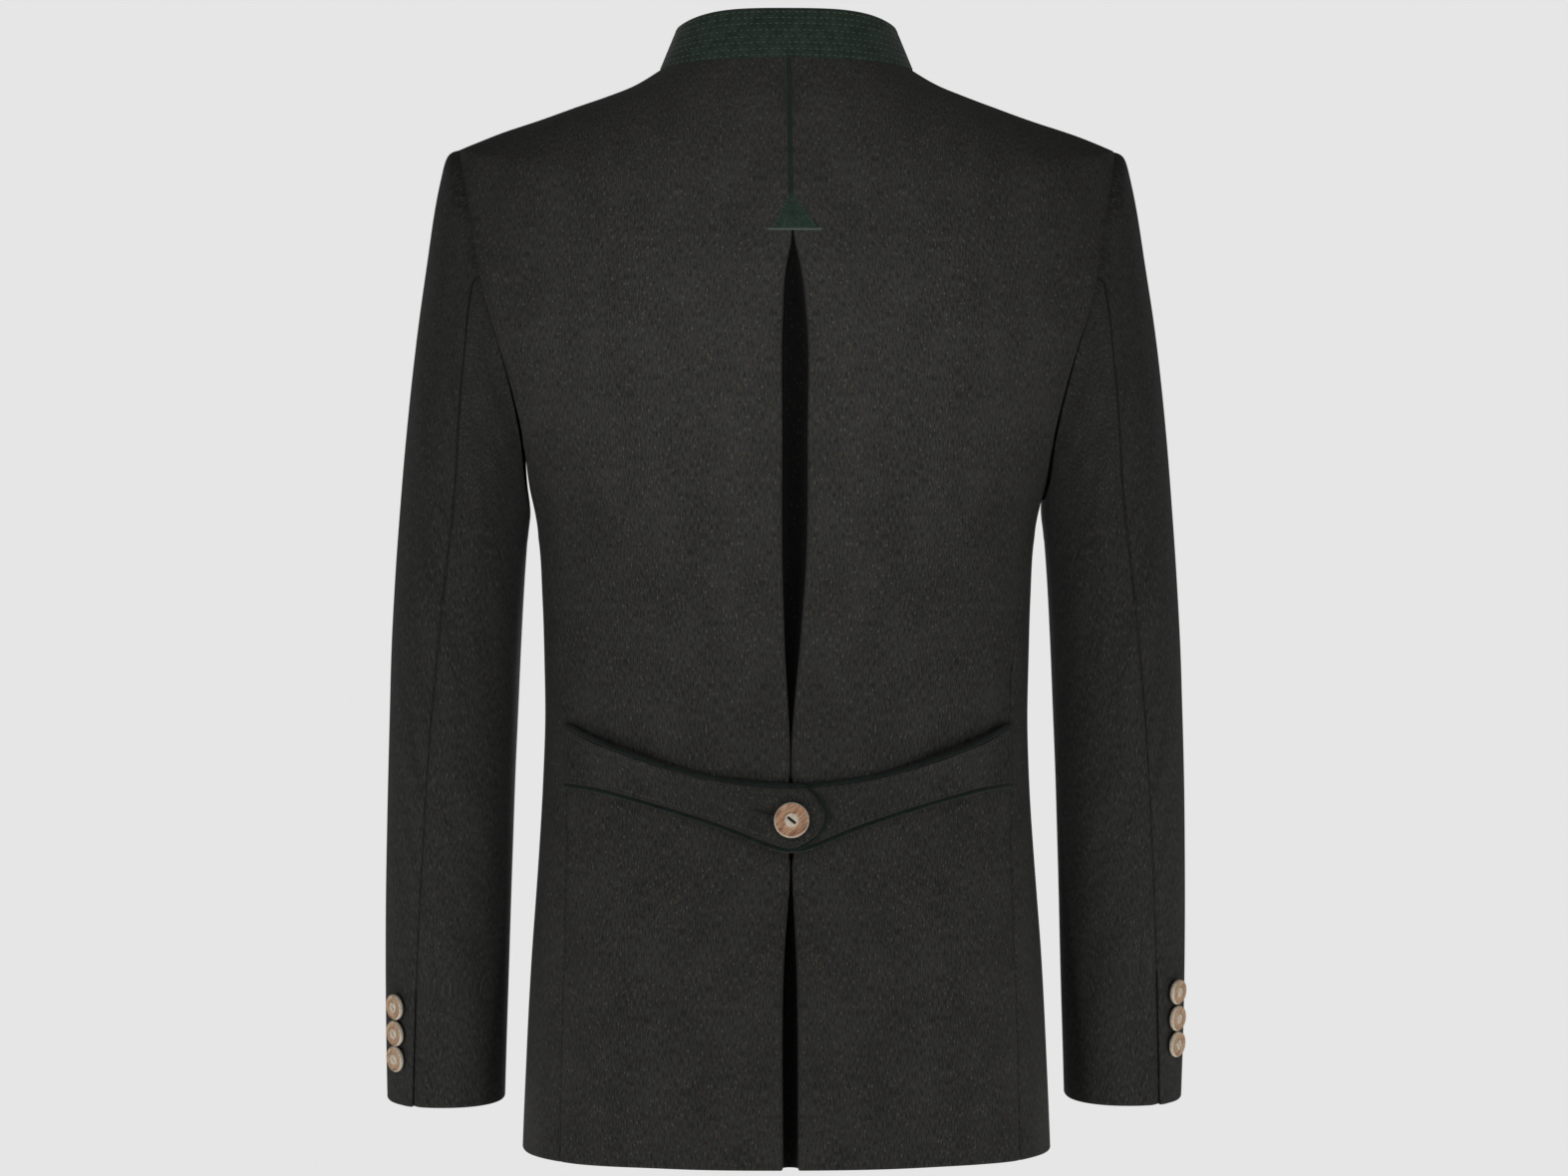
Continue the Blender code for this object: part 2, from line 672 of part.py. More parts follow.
def armhole_edge(face):
    """Row numbers of a panel's edge beside the armhole, and the armhole points that they meet."""
    first = BELOW_ARM_ROWS
    start = int(round(JUNCTION_TURN * ARMHOLE_POINTS / 360))
    rows = range(first, first + ARMHOLE_POINTS - start + 1)
    places = [k if face < 0 else ARMHOLE_POINTS - k for k in range(start, ARMHOLE_POINTS + 1)]
    return list(rows), places


def fit_shoulder(outer, inner, face):
    """Part the back from the front along the shoulder seam."""
    first = BELOW_ARM_ROWS + ARMHOLE_POINTS - int(round(JUNCTION_TURN * ARMHOLE_POINTS / 360))
    for grid in (outer, inner):
        grid[first:, -1, 1] += face * GAP / 2


def make_back(side, rim):
    """A back half, with the fold at the centre and the strip that returns behind it."""
    rows = body_rows()
    us = BACK_COLUMN_SHARES
    outward = side
    pleated = np.arange(len(rows)) <= PLEAT_TOP_ROW
    body_out, body_in = [], []
    fold_out, fold_in = [], []
    for v, folded in zip(rows, pleated):
        surface = back_surface(side, PLEAT_FOLD_RADIUS if folded else 0)
        out = surface(v, us)
        normals = surface_normals(surface, v, us, (0, 3), outward)
        body_out.append(out)
        body_in.append(out - CLOTH * normals)
        length = np.sum(np.linalg.norm(np.diff(surface(v, np.linspace(0, 1, 40)), axis=0), axis=1))
        reach = [PLEAT_RETURN / length, PLEAT_RETURN / 2 / length]
        behind = surface(v, reach)
        behind_normals = surface_normals(surface, v, reach, (0, 3), outward)
        deep = 2 * PLEAT_FOLD_RADIUS
        outs = [behind[0] - deep * behind_normals[0], behind[1] - deep * behind_normals[1]]
        ins = [outs[0] + CLOTH * behind_normals[0], outs[1] + CLOTH * behind_normals[1]]
        centre = out[0] - PLEAT_FOLD_RADIUS * normals[0]
        away = unit(out[0] - out[1])
        for degrees in PLEAT_FOLD_ANGLES:
            turn = math.radians(degrees)
            spoke = math.cos(turn) * away + math.sin(turn) * normals[0]
            outs.append(centre + PLEAT_FOLD_RADIUS * spoke)
            ins.append(centre + (PLEAT_FOLD_RADIUS - CLOTH) * spoke)
        fold_out.append(outs)
        fold_in.append(ins)
    outer = np.concatenate([np.array(fold_out), np.array(body_out)], axis=1)
    inner = np.concatenate([np.array(fold_in), np.array(body_in)], axis=1)
    fold_columns = len(fold_out[0])
    keep = np.ones((len(rows) - 1, outer.shape[1] - 1), bool)
    keep[PLEAT_TOP_ROW:, :fold_columns] = False
    first = BELOW_ARM_ROWS
    for grid in (outer, inner):
        grid[:first, -1] += GAP / 2 * unit(grid[:first, -2] - grid[:first, -1])
        grid[-1] += GAP / 2 * unit(grid[-2] - grid[-1])
    edge_rows, places = armhole_edge(-1)
    fit_armhole(outer, inner, [(r, -1) for r in edge_rows], places, rim, -1)
    fit_shoulder(outer, inner, -1)
    add_wall("back_" + side_name(side), outer, inner, keep=keep)


def make_front(side, rim):
    rows = body_rows()
    outer, inner = wall_grid(front_surface(side), rows, FRONT_COLUMN_SHARES, CLOTH, -side)
    first = BELOW_ARM_ROWS
    for grid in (outer, inner):
        grid[:first, -1] += GAP / 2 * unit(grid[:first, -2] - grid[:first, -1])
        grid[-1] += GAP / 2 * unit(grid[-2] - grid[-1])
        if side > 0:
            grid[-1, :2] += UNDER_LAP_TRIM * unit(grid[-2, :2] - grid[-1, :2])
    edge_rows, places = armhole_edge(1)
    fit_armhole(outer, inner, [(r, -1) for r in edge_rows], places, rim, -1)
    fit_shoulder(outer, inner, 1)
    add_wall("front_" + side_name(side), outer, inner)


def make_side(side, rim):
    rows = body_rows()[:BELOW_ARM_ROWS + 1]
    us = np.linspace(0, 1, SIDE_COLUMNS + 1)
    outer, inner = wall_grid(side_surface(side), rows, us, CLOTH, side)
    draw_in(outer, inner)
    start = int(round(JUNCTION_TURN * ARMHOLE_POINTS / 360))
    places = [start - c for c in range(SIDE_COLUMNS + 1)]
    fit_armhole(outer, inner, [(-1, c) for c in range(SIDE_COLUMNS + 1)], places, rim, -1)
    add_wall("side_" + side_name(side), outer, inner)


def make_sleeve(side, part, rim):
    stations = list(range(len(SLEEVE_RINGS)))
    columns = UPPER_SLEEVE_COLUMNS if part == "upper" else UNDER_SLEEVE_COLUMNS
    us = np.linspace(0, 1, columns + 1)
    outer, inner = wall_grid(sleeve_surface(side, part), stations, us, CLOTH, -side)
    first_turn = SLEEVE_RINGS[0][7] if part == "upper" else SLEEVE_RINGS[0][8]
    first = int(round(first_turn * ARMHOLE_POINTS / 360))
    fit_armhole(outer, inner, [(0, c) for c in range(columns + 1)], range(first, first + columns + 1), rim, 1)
    draw_in(outer, inner, SLEEVE_SEAM_INSET)
    add_wall(f"{part}_sleeve_{side_name(side)}", outer, inner)


def neckline():
    """The neck edge from the left front's end round the back to the right front's, at the panels' columns."""
    sides = []
    for side in (-1, 1):
        front = front_surface(side)(3, FRONT_COLUMN_SHARES)[1:]
        back = back_surface(side, 0)(3, BACK_COLUMN_SHARES)
        front[0] = mix(front[0], front[1], COLLAR_END_GAP / np.linalg.norm(front[1] - front[0]))
        back[0, 0] = 0.0
        sides.append(np.vstack([front, back[-2::-1]]))
    return np.vstack([sides[0], sides[1][-2::-1]])


def collar_top(foot):
    """The collar's top edge over each point of its foot."""
    x = foot[:, 0] * COLLAR_TOP["half_width"] / NECK_HALF_WIDTH
    share = np.clip(np.abs(x) / COLLAR_TOP["half_width"], 0, 1)
    to_front = foot[:, 1] > 0
    depth = np.where(to_front, COLLAR_TOP["front"], COLLAR_TOP["back"])
    y = depth * (1 - share ** SQUARENESS) ** (1 / SQUARENESS)
    z_end = np.where(to_front, COLLAR_TOP["z_front"], COLLAR_TOP["z_back"])
    z = mix(COLLAR_TOP["z_side"], z_end, 1 - share ** np.where(to_front, 2, 4))
    return np.stack([x, y, z], axis=1)


def make_collar():
    foot = neckline()
    top = collar_top(foot)
    steps = np.linalg.norm(np.diff(top, axis=0), axis=1)
    along_top = np.concatenate([[0], np.cumsum(steps)])
    from_end = np.minimum(along_top, along_top[-1] - along_top)
    rounded = COLLAR_CORNER - np.sqrt(np.maximum(0, COLLAR_CORNER ** 2
                                                 - np.maximum(0, COLLAR_CORNER - from_end) ** 2))
    top = top - unit(top - foot) * rounded[:, None]
    levels = np.linspace(0, 1, COLLAR_ROWS + 1)
    outer = np.array([mix(foot, top, t) for t in levels])
    along = np.gradient(outer, axis=1)
    up = np.gradient(outer, axis=0)
    normals = unit(np.cross(along, up))
    inner = outer - COLLAR_CLOTH * normals
    for grid in (outer, inner):
        grid[0] += GAP / 2 * unit(grid[1] - grid[0])
    add_wall("collar", outer, inner, GREEN_WOOL)


def back_place(x, z, lift=0.0):
    """A point on the outside of the back below the arms, at x and z, moved out by lift, and its normal."""
    side = 1 if x >= 0 else -1

    def on_back(px, pz):
        half_width = body_width(pz)
        depth = -back_profile(pz)
        share = (abs(px) / half_width) ** SQUARENESS
        angle = -math.degrees(math.acos(min(1.0, (abs(px) / half_width) ** (SQUARENESS / 2))))
        rise = float(fold_height(side, angle, pz))
        y = -depth * (1 - share) ** (1 / SQUARENESS) - rise * (1 - share)
        return np.array([px, y, pz])

    here = on_back(x, z)
    across = on_back(x + TINY / 4, z) - on_back(x - TINY / 4, z)
    up = on_back(x, z + TINY) - on_back(x, z - TINY)
    normal = unit(np.cross(across, up))
    return here + lift * normal, normal


def upper_back_place(x, z, lift=0.0):
    """A point on the outside of the upper back near the centre, at x and z, moved out by lift."""
    slope = (back_profile(z + TINY) - back_profile(z - TINY)) / (2 * TINY)
    normal = unit(np.array([0.0, -1.0, float(slope)]))
    return np.array([x, float(back_profile(z)), z]) + lift * normal, normal


def make_underlay():
    """The strip behind the pleat, sewn to the edges of the two returns."""
    rows = body_rows()[:PLEAT_TOP_ROW + 1]
    outer, inner = [], []
    for v in rows:
        points_out, points_in = [], []
        for side in (-1, 1):
            surface = back_surface(side, PLEAT_FOLD_RADIUS)
            length = np.sum(np.linalg.norm(np.diff(surface(v, np.linspace(0, 1, 40)), axis=0), axis=1))
            reach = np.array([UNDERLAY_LAP, PLEAT_RETURN / 2, 0.0]) / length
            on_back = surface(v, reach)
            normals = surface_normals(surface, v, reach, (0, 3), side)
            depth = 2 * PLEAT_FOLD_RADIUS + LAYER_GAP
            out = on_back - depth * normals
            ins = on_back - (depth + CLOTH) * normals
            if side < 0:
                points_out = list(out)
                points_in = list(ins)
            else:
                middle = (points_out[-1] + out[-1]) / 2
                middle_in = (points_in[-1] + ins[-1]) / 2
                width = out[-1][0] - points_out[-1][0]
                sink = np.array([0, UNDERLAY_SINK * ramp(width, 0.005, 0.014), 0])
                points_out = points_out + [middle + sink] + list(out[::-1])
                points_in = points_in + [middle_in + sink] + list(ins[::-1])
        outer.append(points_out)
        inner.append(points_in)
    add_wall("pleat_underlay", np.array(outer), np.array(inner))


def belt_offset(side, x, breadth):
    """How far a belt half's inner side lies off the back: lapped at the middle, standing off near its seam."""
    own = side * x
    stand = BELT_STAND_OFF * breadth ** 2 * ramp(own, 0.055, 0.095) * (1 - ramp(own, 0.118, 0.147))
    lap = 0.0
    if side < 0:
        lap = (BELT_CLOTH + LAYER_GAP) * ramp(x, BELT_LIFT_START, BELT_LIFT_END)
    return LAYER_GAP + stand + lap


def belt_grid(side, columns, breadths):
    """Points of a belt half, each with its normal and offset, from the seam to its inner end."""
    grid = []
    for breadth in breadths:
        line = []
        end = belt_tab(breadth) if side < 0 else BELT_RIGHT_END_X
        for share in np.linspace(0, 1, columns + 1):
            x = mix(side * BELT_SEAM_X, end, share)
            z = mix(belt_lower(abs(x)), belt_upper(abs(x)), breadth)
            point, normal = back_place(x, z)
            line.append((point, normal, belt_offset(side, x, breadth)))
        grid.append(line)
    return grid


def make_belt(side):
    grid = belt_grid(side, BELT_COLUMNS, BELT_BREADTH)
    inner = np.array([[point + normal * offset for point, normal, offset in line] for line in grid])
    normals = np.array([[normal for point, normal, offset in line] for line in grid])
    outer = inner + BELT_CLOTH * normals
    add_wall("belt_" + side_name(side), outer, inner)
    route = belt_piping_route((outer + inner) / 2, normals, side)
    add_tube("belt_piping_" + side_name(side), route, BELT_PIPING_RADIUS)


def belt_piping_route(middle, normals, side):
    """The line of the piping off a belt half's edges: upper edge, inner end on the left half, lower edge."""
    outline = np.vstack([middle[-1], middle[-2:0:-1, -1], middle[0, ::-1]])
    facing = np.vstack([normals[-1], normals[-2:0:-1, -1], normals[0, ::-1]])
    steps = unit(np.diff(outline, axis=0))
    steps = np.vstack([steps[:1], steps, steps[-1:]])
    away_before = unit(np.cross(steps[:-1], facing)) * side
    away_after = unit(np.cross(steps[1:], facing)) * side
    away = unit(away_before + away_after)
    reach = (BELT_PIPING_RADIUS + GAP) / np.sum(away * away_after, axis=1, keepdims=True)
    return outline + away * reach


def add_tube(name, route, radius):
    """A round cord along a route, as a curve with filled caps."""
    spine = bpy.data.curves.new(name, "CURVE")
    spine.dimensions = "3D"
    spine.bevel_depth = radius
    spine.bevel_resolution = 1
    spine.use_fill_caps = True
    spline = spine.splines.new("POLY")
    spline.points.add(len(route) - 1)
    for point, place in zip(spline.points, route):
        point.co = (*place, 1)
    return add_object(name, spine, GREEN_WOOL, 0.9)


def make_centre_piping():
    heights = np.linspace(PIPING_TOP_Z, ARROW_APEX[1] + 0.001, PIPING_POINTS)
    lift = PIPING_RADIUS + LAYER_GAP
    route = [upper_back_place(0.0, z, lift)[0] for z in heights]
    add_tube("centre_piping", np.array(route), PIPING_RADIUS)


def make_arrow():
    """The green triangle over the pleat's top."""
    levels = np.linspace(0, 1, ARROW_STEPS + 1)
    outer, inner = [], []
    for level in levels:
        z = mix(ARROW_BASE_Z, ARROW_APEX[1] - 0.003, level)
        left = mix(ARROW_BASE_X[0], ARROW_APEX[0] - 0.0018, level)
        right = mix(ARROW_BASE_X[1], ARROW_APEX[0] + 0.0018, level)
        xs = (left, ARROW_APEX[0], right)
        inner.append([upper_back_place(x, z, LAYER_GAP)[0] for x in xs])
        outer.append([upper_back_place(x, z, LAYER_GAP + ARROW_CLOTH)[0] for x in xs])
    add_wall("pleat_arrow", np.array(outer), np.array(inner), GREEN_WOOL)


def button_mesh(name, diameter, thickness):
    """A turned antler button: a domed disc with a dished middle on a short thread shank."""
    radius = diameter / 2
    shank = SHANK_DIAMETER / 2
    top = SHANK_HEIGHT + thickness
    profile = [
        (0.0, top - 0.6 * MM),
        (0.34 * radius, top),
        (0.82 * radius, top - 0.6 * MM),
        (radius, top - 0.45 * thickness),
        (0.80 * radius, SHANK_HEIGHT),
        (shank, SHANK_HEIGHT),
        (shank, 0.0),
        (0.0, 0.0),
    ]
    mesh = bpy.data.meshes.new(name)
    mesh.from_pydata([(x, 0, z) for x, z in profile], [(i, i + 1) for i in range(len(profile) - 1)], [])
    return mesh


def add_button(name, place, normal, size):
    """A button standing on a surface at a place, its back against the cloth."""
    mesh = button_mesh(name, *size)
    button = add_object(name, mesh, ANTLER, 0.55)
    turned = button.modifiers.new("turned", "SCREW")
    turned.steps = 12
    turned.render_steps = 12
    turned.use_merge_vertices = True
    turned.merge_threshold = 0.00005
    turned.use_smooth_shade = True
    z_axis = Vector(normal)
    x_axis = Vector((0, 0, 1)).cross(z_axis).normalized()
    y_axis = z_axis.cross(x_axis)
    turn = Matrix((x_axis, y_axis, z_axis)).transposed().to_4x4()
    button.matrix_world = Matrix.Translation(Vector(place)) @ turn
    return button


def make_belt_button():
    x, z = BELT_BUTTON_PLACE
    lift = belt_offset(-1, x, 0.5) + BELT_CLOTH + LAYER_GAP
    place, normal = back_place(x, z, lift)
    add_button("belt_button", place, normal, BELT_BUTTON)


def make_cuff_buttons(side):
    stations = np.linspace(len(SLEEVE_RINGS) - 5, len(SLEEVE_RINGS) - 1, 200)
    line = np.array([sleeve_points(j, np.array([CUFF_BUTTON_ANGLE]))[0] for j in stations])
    for number in range(3):
        z = CUFF_BUTTON_TOP_Z[side] - number * CUFF_BUTTON_PITCH
        j = stations[int(np.argmin(np.abs(line[:, 2] - z)))]
        around = sleeve_points(j, np.array([CUFF_BUTTON_ANGLE - 1, CUFF_BUTTON_ANGLE, CUFF_BUTTON_ANGLE + 1]))
        down = sleeve_points(j + 0.02, np.array([CUFF_BUTTON_ANGLE]))[0]
        normal = unit(np.cross(down - around[1], around[2] - around[0]))
        if normal[0] < 0:
            normal = -normal
        place = (around[1] + LAYER_GAP * normal) * (side, 1, 1)
        add_button(f"cuff_button_{side_name(side)}_{number + 1}", place, normal * (side, 1, 1), CUFF_BUTTON)


def make_front_buttons():
    for number in range(FRONT_BUTTONS):
        z = FRONT_BUTTON_TOP_Z - number * FRONT_BUTTON_PITCH
        slope = (front_profile(z + TINY) - front_profile(z - TINY)) / (2 * TINY)
        normal = unit(np.array([0.0, 1.0, -float(slope)]))
        lift = FRONT_LAP_LIFT + LAYER_GAP
        place = np.array([0.0, float(front_profile(z)), z]) + lift * normal
        add_button(f"front_button_{number + 1}", place, normal, FRONT_BUTTON)


for old in list(bpy.data.objects):
    bpy.data.objects.remove(old)

jacket = bpy.data.collections.new("cashmere_jacket")
bpy.context.scene.collection.children.link(jacket)

for body_side in (-1, 1):
    shared_rim = armhole_rim(body_side)
    make_back(body_side, shared_rim)
    make_side(body_side, shared_rim)
    make_front(body_side, shared_rim)
    make_sleeve(body_side, "upper", shared_rim)
    make_sleeve(body_side, "under", shared_rim)
    make_belt(body_side)
    make_cuff_buttons(body_side)
make_underlay()
make_collar()
make_centre_piping()
make_arrow()
make_belt_button()
make_front_buttons()
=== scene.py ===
"""The looks of a men's cashmere jacket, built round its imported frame.

Each cloth piece is made from the sizes that its solid has, on a finer grid, with its creases, rolled seams
and stitches. Metres, +Z up. The wearer faces +Y, so the back faces -Y, and the wearer's right is +X.
"""

import json
import math

import bmesh
import bpy
import numpy as np
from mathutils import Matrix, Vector

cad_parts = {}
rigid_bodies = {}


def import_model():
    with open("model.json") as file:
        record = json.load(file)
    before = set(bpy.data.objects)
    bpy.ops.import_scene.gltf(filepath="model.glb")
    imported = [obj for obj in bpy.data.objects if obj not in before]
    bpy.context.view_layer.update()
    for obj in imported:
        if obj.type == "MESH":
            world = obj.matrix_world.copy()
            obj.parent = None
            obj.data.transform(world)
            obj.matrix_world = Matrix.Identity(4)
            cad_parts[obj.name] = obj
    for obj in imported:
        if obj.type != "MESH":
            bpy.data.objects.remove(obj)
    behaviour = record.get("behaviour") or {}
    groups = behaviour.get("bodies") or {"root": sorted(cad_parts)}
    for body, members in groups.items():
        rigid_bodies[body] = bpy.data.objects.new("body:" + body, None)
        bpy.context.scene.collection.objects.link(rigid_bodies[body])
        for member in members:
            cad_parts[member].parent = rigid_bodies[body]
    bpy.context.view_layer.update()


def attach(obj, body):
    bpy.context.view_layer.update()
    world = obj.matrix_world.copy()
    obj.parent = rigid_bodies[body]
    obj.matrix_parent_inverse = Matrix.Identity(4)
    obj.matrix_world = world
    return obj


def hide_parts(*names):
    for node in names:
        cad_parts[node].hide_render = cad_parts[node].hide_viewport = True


for startup_object in list(bpy.data.objects):
    bpy.data.objects.remove(startup_object)
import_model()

MM = 0.001

# Cloth and gaps
CLOTH = 2.0 * MM
COLLAR_CLOTH = 2.6 * MM
BELT_CLOTH = 2.4 * MM
GAP = 0.3 * MM
LAYER_GAP = 0.5 * MM

# Body heights
HEM_Z = -0.7255
FRONT_HEM_DROP = 0.010
HEM_DROP_FADE = 0.15
ARMPIT_Z = -0.2900
SIDE_RING_Z = -0.3144
SHOULDER_TIP_X = 0.2194
SHOULDER_TIP_Z = -0.0550
NECK_HALF_WIDTH = 0.0855
TIP_BACK_Z = -0.0880
TIP_FRONT_Z = -0.1400
NECK_BACK_Z = 0.0045
NECK_FRONT_Z = -0.0750
ARMHOLE_HALF_DEPTH = 0.0680
ARMHOLE_EGG = 0.15
JUNCTION_TURN = 225.0
JUNCTION_BACK_DROP = 0.016
SQUARENESS = 2.3

LAP_SHARE = 1 / 8
RING_SAMPLES = 90

# Half-width of the body by height: z, half_width
BODY_WIDTH = (
    (-0.7255, 0.1775),
    (-0.6783, 0.1760),
    (-0.6380, 0.1743),
    (-0.5976, 0.1719),
    (-0.5572, 0.1689),
    (-0.5168, 0.1662),
    (-0.4764, 0.1639),
    (-0.4361, 0.1625),
    (-0.3957, 0.1632),
    (-0.3553, 0.1646),
    (-0.3150, 0.1672),
    (-0.2900, 0.1722),
    (-0.2556, 0.1905),
)

# Centre-back profile: z, y
BACK_PROFILE = (
    (-0.7255, -0.1360),
    (-0.6600, -0.1310),
    (-0.6000, -0.1240),
    (-0.5500, -0.1170),
    (-0.5000, -0.1100),
    (-0.4500, -0.1070),
    (-0.4000, -0.1085),
    (-0.3500, -0.1130),
    (-0.3000, -0.1180),
    (-0.2500, -0.1215),
    (-0.2000, -0.1215),
    (-0.1500, -0.1155),
    (-0.1000, -0.1020),
    (-0.0600, -0.0860),
    (-0.0300, -0.0710),
    (0.0045, -0.0500),
)

# Centre-front profile: z, y
FRONT_PROFILE = (
    (-0.7355, 0.1400),
    (-0.6000, 0.1350),
    (-0.4500, 0.1280),
    (-0.3500, 0.1310),
    (-0.2500, 0.1360),
    (-0.2000, 0.1340),
    (-0.1500, 0.1230),
    (-0.1200, 0.1080),
    (-0.0750, 0.0750),
)

# Side seams, the same line in front and behind: z, x
SIDE_SEAM = (
    (-0.7255, 0.1505),
    (-0.6000, 0.1490),
    (-0.4800, 0.1475),
    (-0.4200, 0.1490),
    (-0.3600, 0.1540),
    (-0.3144, 0.1600),
    (-0.2850, 0.1672),
    (-0.2556, 0.1756),
)

# Armhole seam seen from behind: z, x
ARMHOLE_LINE = (
    (-0.2900, 0.1707),
    (-0.2825, 0.1722),
    (-0.2517, 0.1762),
    (-0.2247, 0.1820),
    (-0.1893, 0.1915),
    (-0.1599, 0.2005),
    (-0.1205, 0.2082),
    (-0.0959, 0.2120),
    (-0.0737, 0.2163),
    (-0.0550, 0.2194),
)

# Shoulder ridge: x, z
SHOULDER_LINE = (
    (0.0855, 0.0000),
    (0.1030, -0.0105),
    (0.1225, -0.0188),
    (0.1460, -0.0268),
    (0.1689, -0.0348),
    (0.1910, -0.0428),
    (0.2194, -0.0550),
)

# Edges of the two back halves at the centre: z, left_x, right_x
PLEAT_EDGES = (
    (-0.7255, -0.0061, 0.0039),
    (-0.5878, -0.0047, 0.0030),
    (-0.5300, -0.0006, 0.0005),
    (-0.5000, -0.0004, 0.0002),
    (-0.4549, -0.0005, 0.0003),
    (-0.3818, -0.0042, 0.0062),
    (-0.3350, -0.0057, 0.0096),
    (-0.2500, -0.0060, 0.0106),
    (-0.1750, -0.0056, 0.0102),
    (-0.1400, -0.0034, 0.0066),
    (-0.1180, 0.0006, 0.0022),
    (-0.1050, 0.0004, 0.0010),
)
PLEAT_FOLD_RADIUS = 2.6 * MM
PLEAT_RETURN = 0.030
PLEAT_TOP_V = 1 + 8 / 9
PLEAT_CLOSING_V = 0.08
UNDERLAY_LAP = 0.034

# Soft folds of the body: side (-1 left, 1 right), angle from the side seam (-90 centre back,
# 90 centre front), spread in degrees, top z, bottom z, height
BODY_FOLDS = (
    (-1, -42, 9, -0.500, -0.760, 2.5 * MM),
    (-1, -62, 8, -0.520, -0.760, -2.0 * MM),
    (1, -38, 8, -0.490, -0.760, 2.5 * MM),
    (1, -60, 9, -0.520, -0.760, -2.0 * MM),
    (-1, 40, 10, -0.480, -0.760, 2.5 * MM),
    (1, 44, 10, -0.480, -0.760, 2.5 * MM),
)

# Sleeve rings: outer x and z, inner x and z, half depth, y of the middle, tilt in degrees, angles of the
# hind and fore seams
SLEEVE_RINGS = (
    (0.2194, -0.0550, 0.1707, -0.2900, 0.0680, 0.000, 0, -75.0, 135),
    (0.2266, -0.0590, 0.1715, -0.2935, 0.0690, 0.000, 0, -75.5, 135),
    (0.2312, -0.0740, 0.1722, -0.2970, 0.0705, 0.000, 0, -76.5, 134.5),
    (0.2362, -0.0969, 0.1728, -0.3004, 0.0722, -0.001, 0, -78.0, 134),
    (0.2418, -0.1300, 0.1733, -0.3038, 0.0738, -0.001, 0, -80.0, 133),
    (0.2474, -0.1670, 0.1737, -0.3070, 0.0748, -0.002, 0, -81.5, 132),
    (0.2520, -0.2070, 0.1741, -0.3104, 0.0755, -0.002, 0, -83.0, 131),
    (0.2559, -0.2500, 0.1745, -0.3145, 0.0758, -0.002, 0, -84.0, 130),
    (0.2594, -0.2948, 0.1752, -0.3210, 0.0755, -0.002, 0, -84.0, 129),
    (0.2630, -0.3420, 0.1770, -0.3500, 0.0735, -0.002, 0, -81.5, 128),
    (0.2659, -0.3880, 0.1789, -0.3900, 0.0705, -0.001, 0, -78.5, 127),
    (0.2675, -0.4320, 0.1807, -0.4320, 0.0675, 0.001, 0, -75.0, 126),
    (0.2687, -0.4760, 0.1827, -0.4760, 0.0645, 0.004, 1, -72.0, 125),
    (0.2697, -0.5200, 0.1844, -0.5200, 0.0618, 0.009, 1, -69.5, 124),
    (0.2706, -0.5640, 0.1861, -0.5640, 0.0592, 0.015, 2, -67.0, 123),
    (0.2710, -0.6080, 0.1877, -0.6080, 0.0565, 0.021, 2, -64.7, 122),
    (0.2709, -0.6520, 0.1893, -0.6520, 0.0540, 0.027, 3, -62.5, 121),
    (0.2706, -0.6945, 0.1906, -0.6945, 0.0520, 0.033, 3, -60.5, 120),
)
SLEEVE_SQUARENESS = 2.15
CAP_RINGS = 7

# Collar top edge
COLLAR_TOP = {"half_width": 0.0735, "back": -0.0435, "front": 0.0600,
              "z_back": 0.0380, "z_side": 0.0290, "z_front": -0.0400}
COLLAR_END_GAP = 5 * MM
COLLAR_CORNER = 9 * MM

# Half belt, edges of its cloth without the piping: distance from the centre, upper z, lower z
BELT_EDGES = (
    (0.000, -0.4792, -0.5200),
    (0.0155, -0.4786, -0.5152),
    (0.040, -0.4760, -0.5052),
    (0.073, -0.4690, -0.4943),
    (0.100, -0.4600, -0.4866),
    (0.128, -0.4492, -0.4800),
    (0.148, -0.4400, -0.4778),
)
BELT_SEAM_X = 0.1470
BELT_TAB = ((0.0, 0.0060), (0.08, 0.0150), (0.30, 0.0225), (0.60, 0.0205), (1.0, 0.0110))
BELT_RIGHT_END_X = -0.0200
BELT_LIFT_START = -0.075
BELT_LIFT_END = -0.035
BELT_STAND_OFF = 4.0 * MM
BELT_STAND_RISE = (0.055, 0.095)
BELT_STAND_FALL = (0.118, 0.147)
BELT_PIPING_RADIUS = BELT_CLOTH / 2

# Centre piping and arrow
PIPING_TOP_Z = 0.0025
ARROW_APEX = (0.0006, -0.0900)
ARROW_BASE_Z = -0.1139
ARROW_BASE_X = (-0.0130, 0.0182)
ARROW_CLOTH = 1.4 * MM

# Buttons: diameter and thickness, and the thread shank under each
BELT_BUTTON = (0.0230, 0.0048)
CUFF_BUTTON = (0.0170, 0.0042)
FRONT_BUTTON = (0.0200, 0.0046)
SHANK_DIAMETER = 4.5 * MM
SHANK_HEIGHT = 1.6 * MM
BELT_BUTTON_PLACE = (0.0, -0.5006)
CUFF_BUTTON_ANGLE = -45
CUFF_BUTTON_TOP_Z = {-1: -0.6285, 1: -0.6195}
CUFF_BUTTON_PITCH = 0.0180
FRONT_BUTTON_TOP_Z = -0.105
FRONT_BUTTON_PITCH = 0.105
FRONT_BUTTONS = 5
FRONT_LAP = 0.022
FRONT_LAP_LIFT = CLOTH + LAYER_GAP
FRONT_LAP_FADE = (0.040, 0.080)
UNDER_LAP_TRIM = 3.0 * MM

TINY = 1e-3


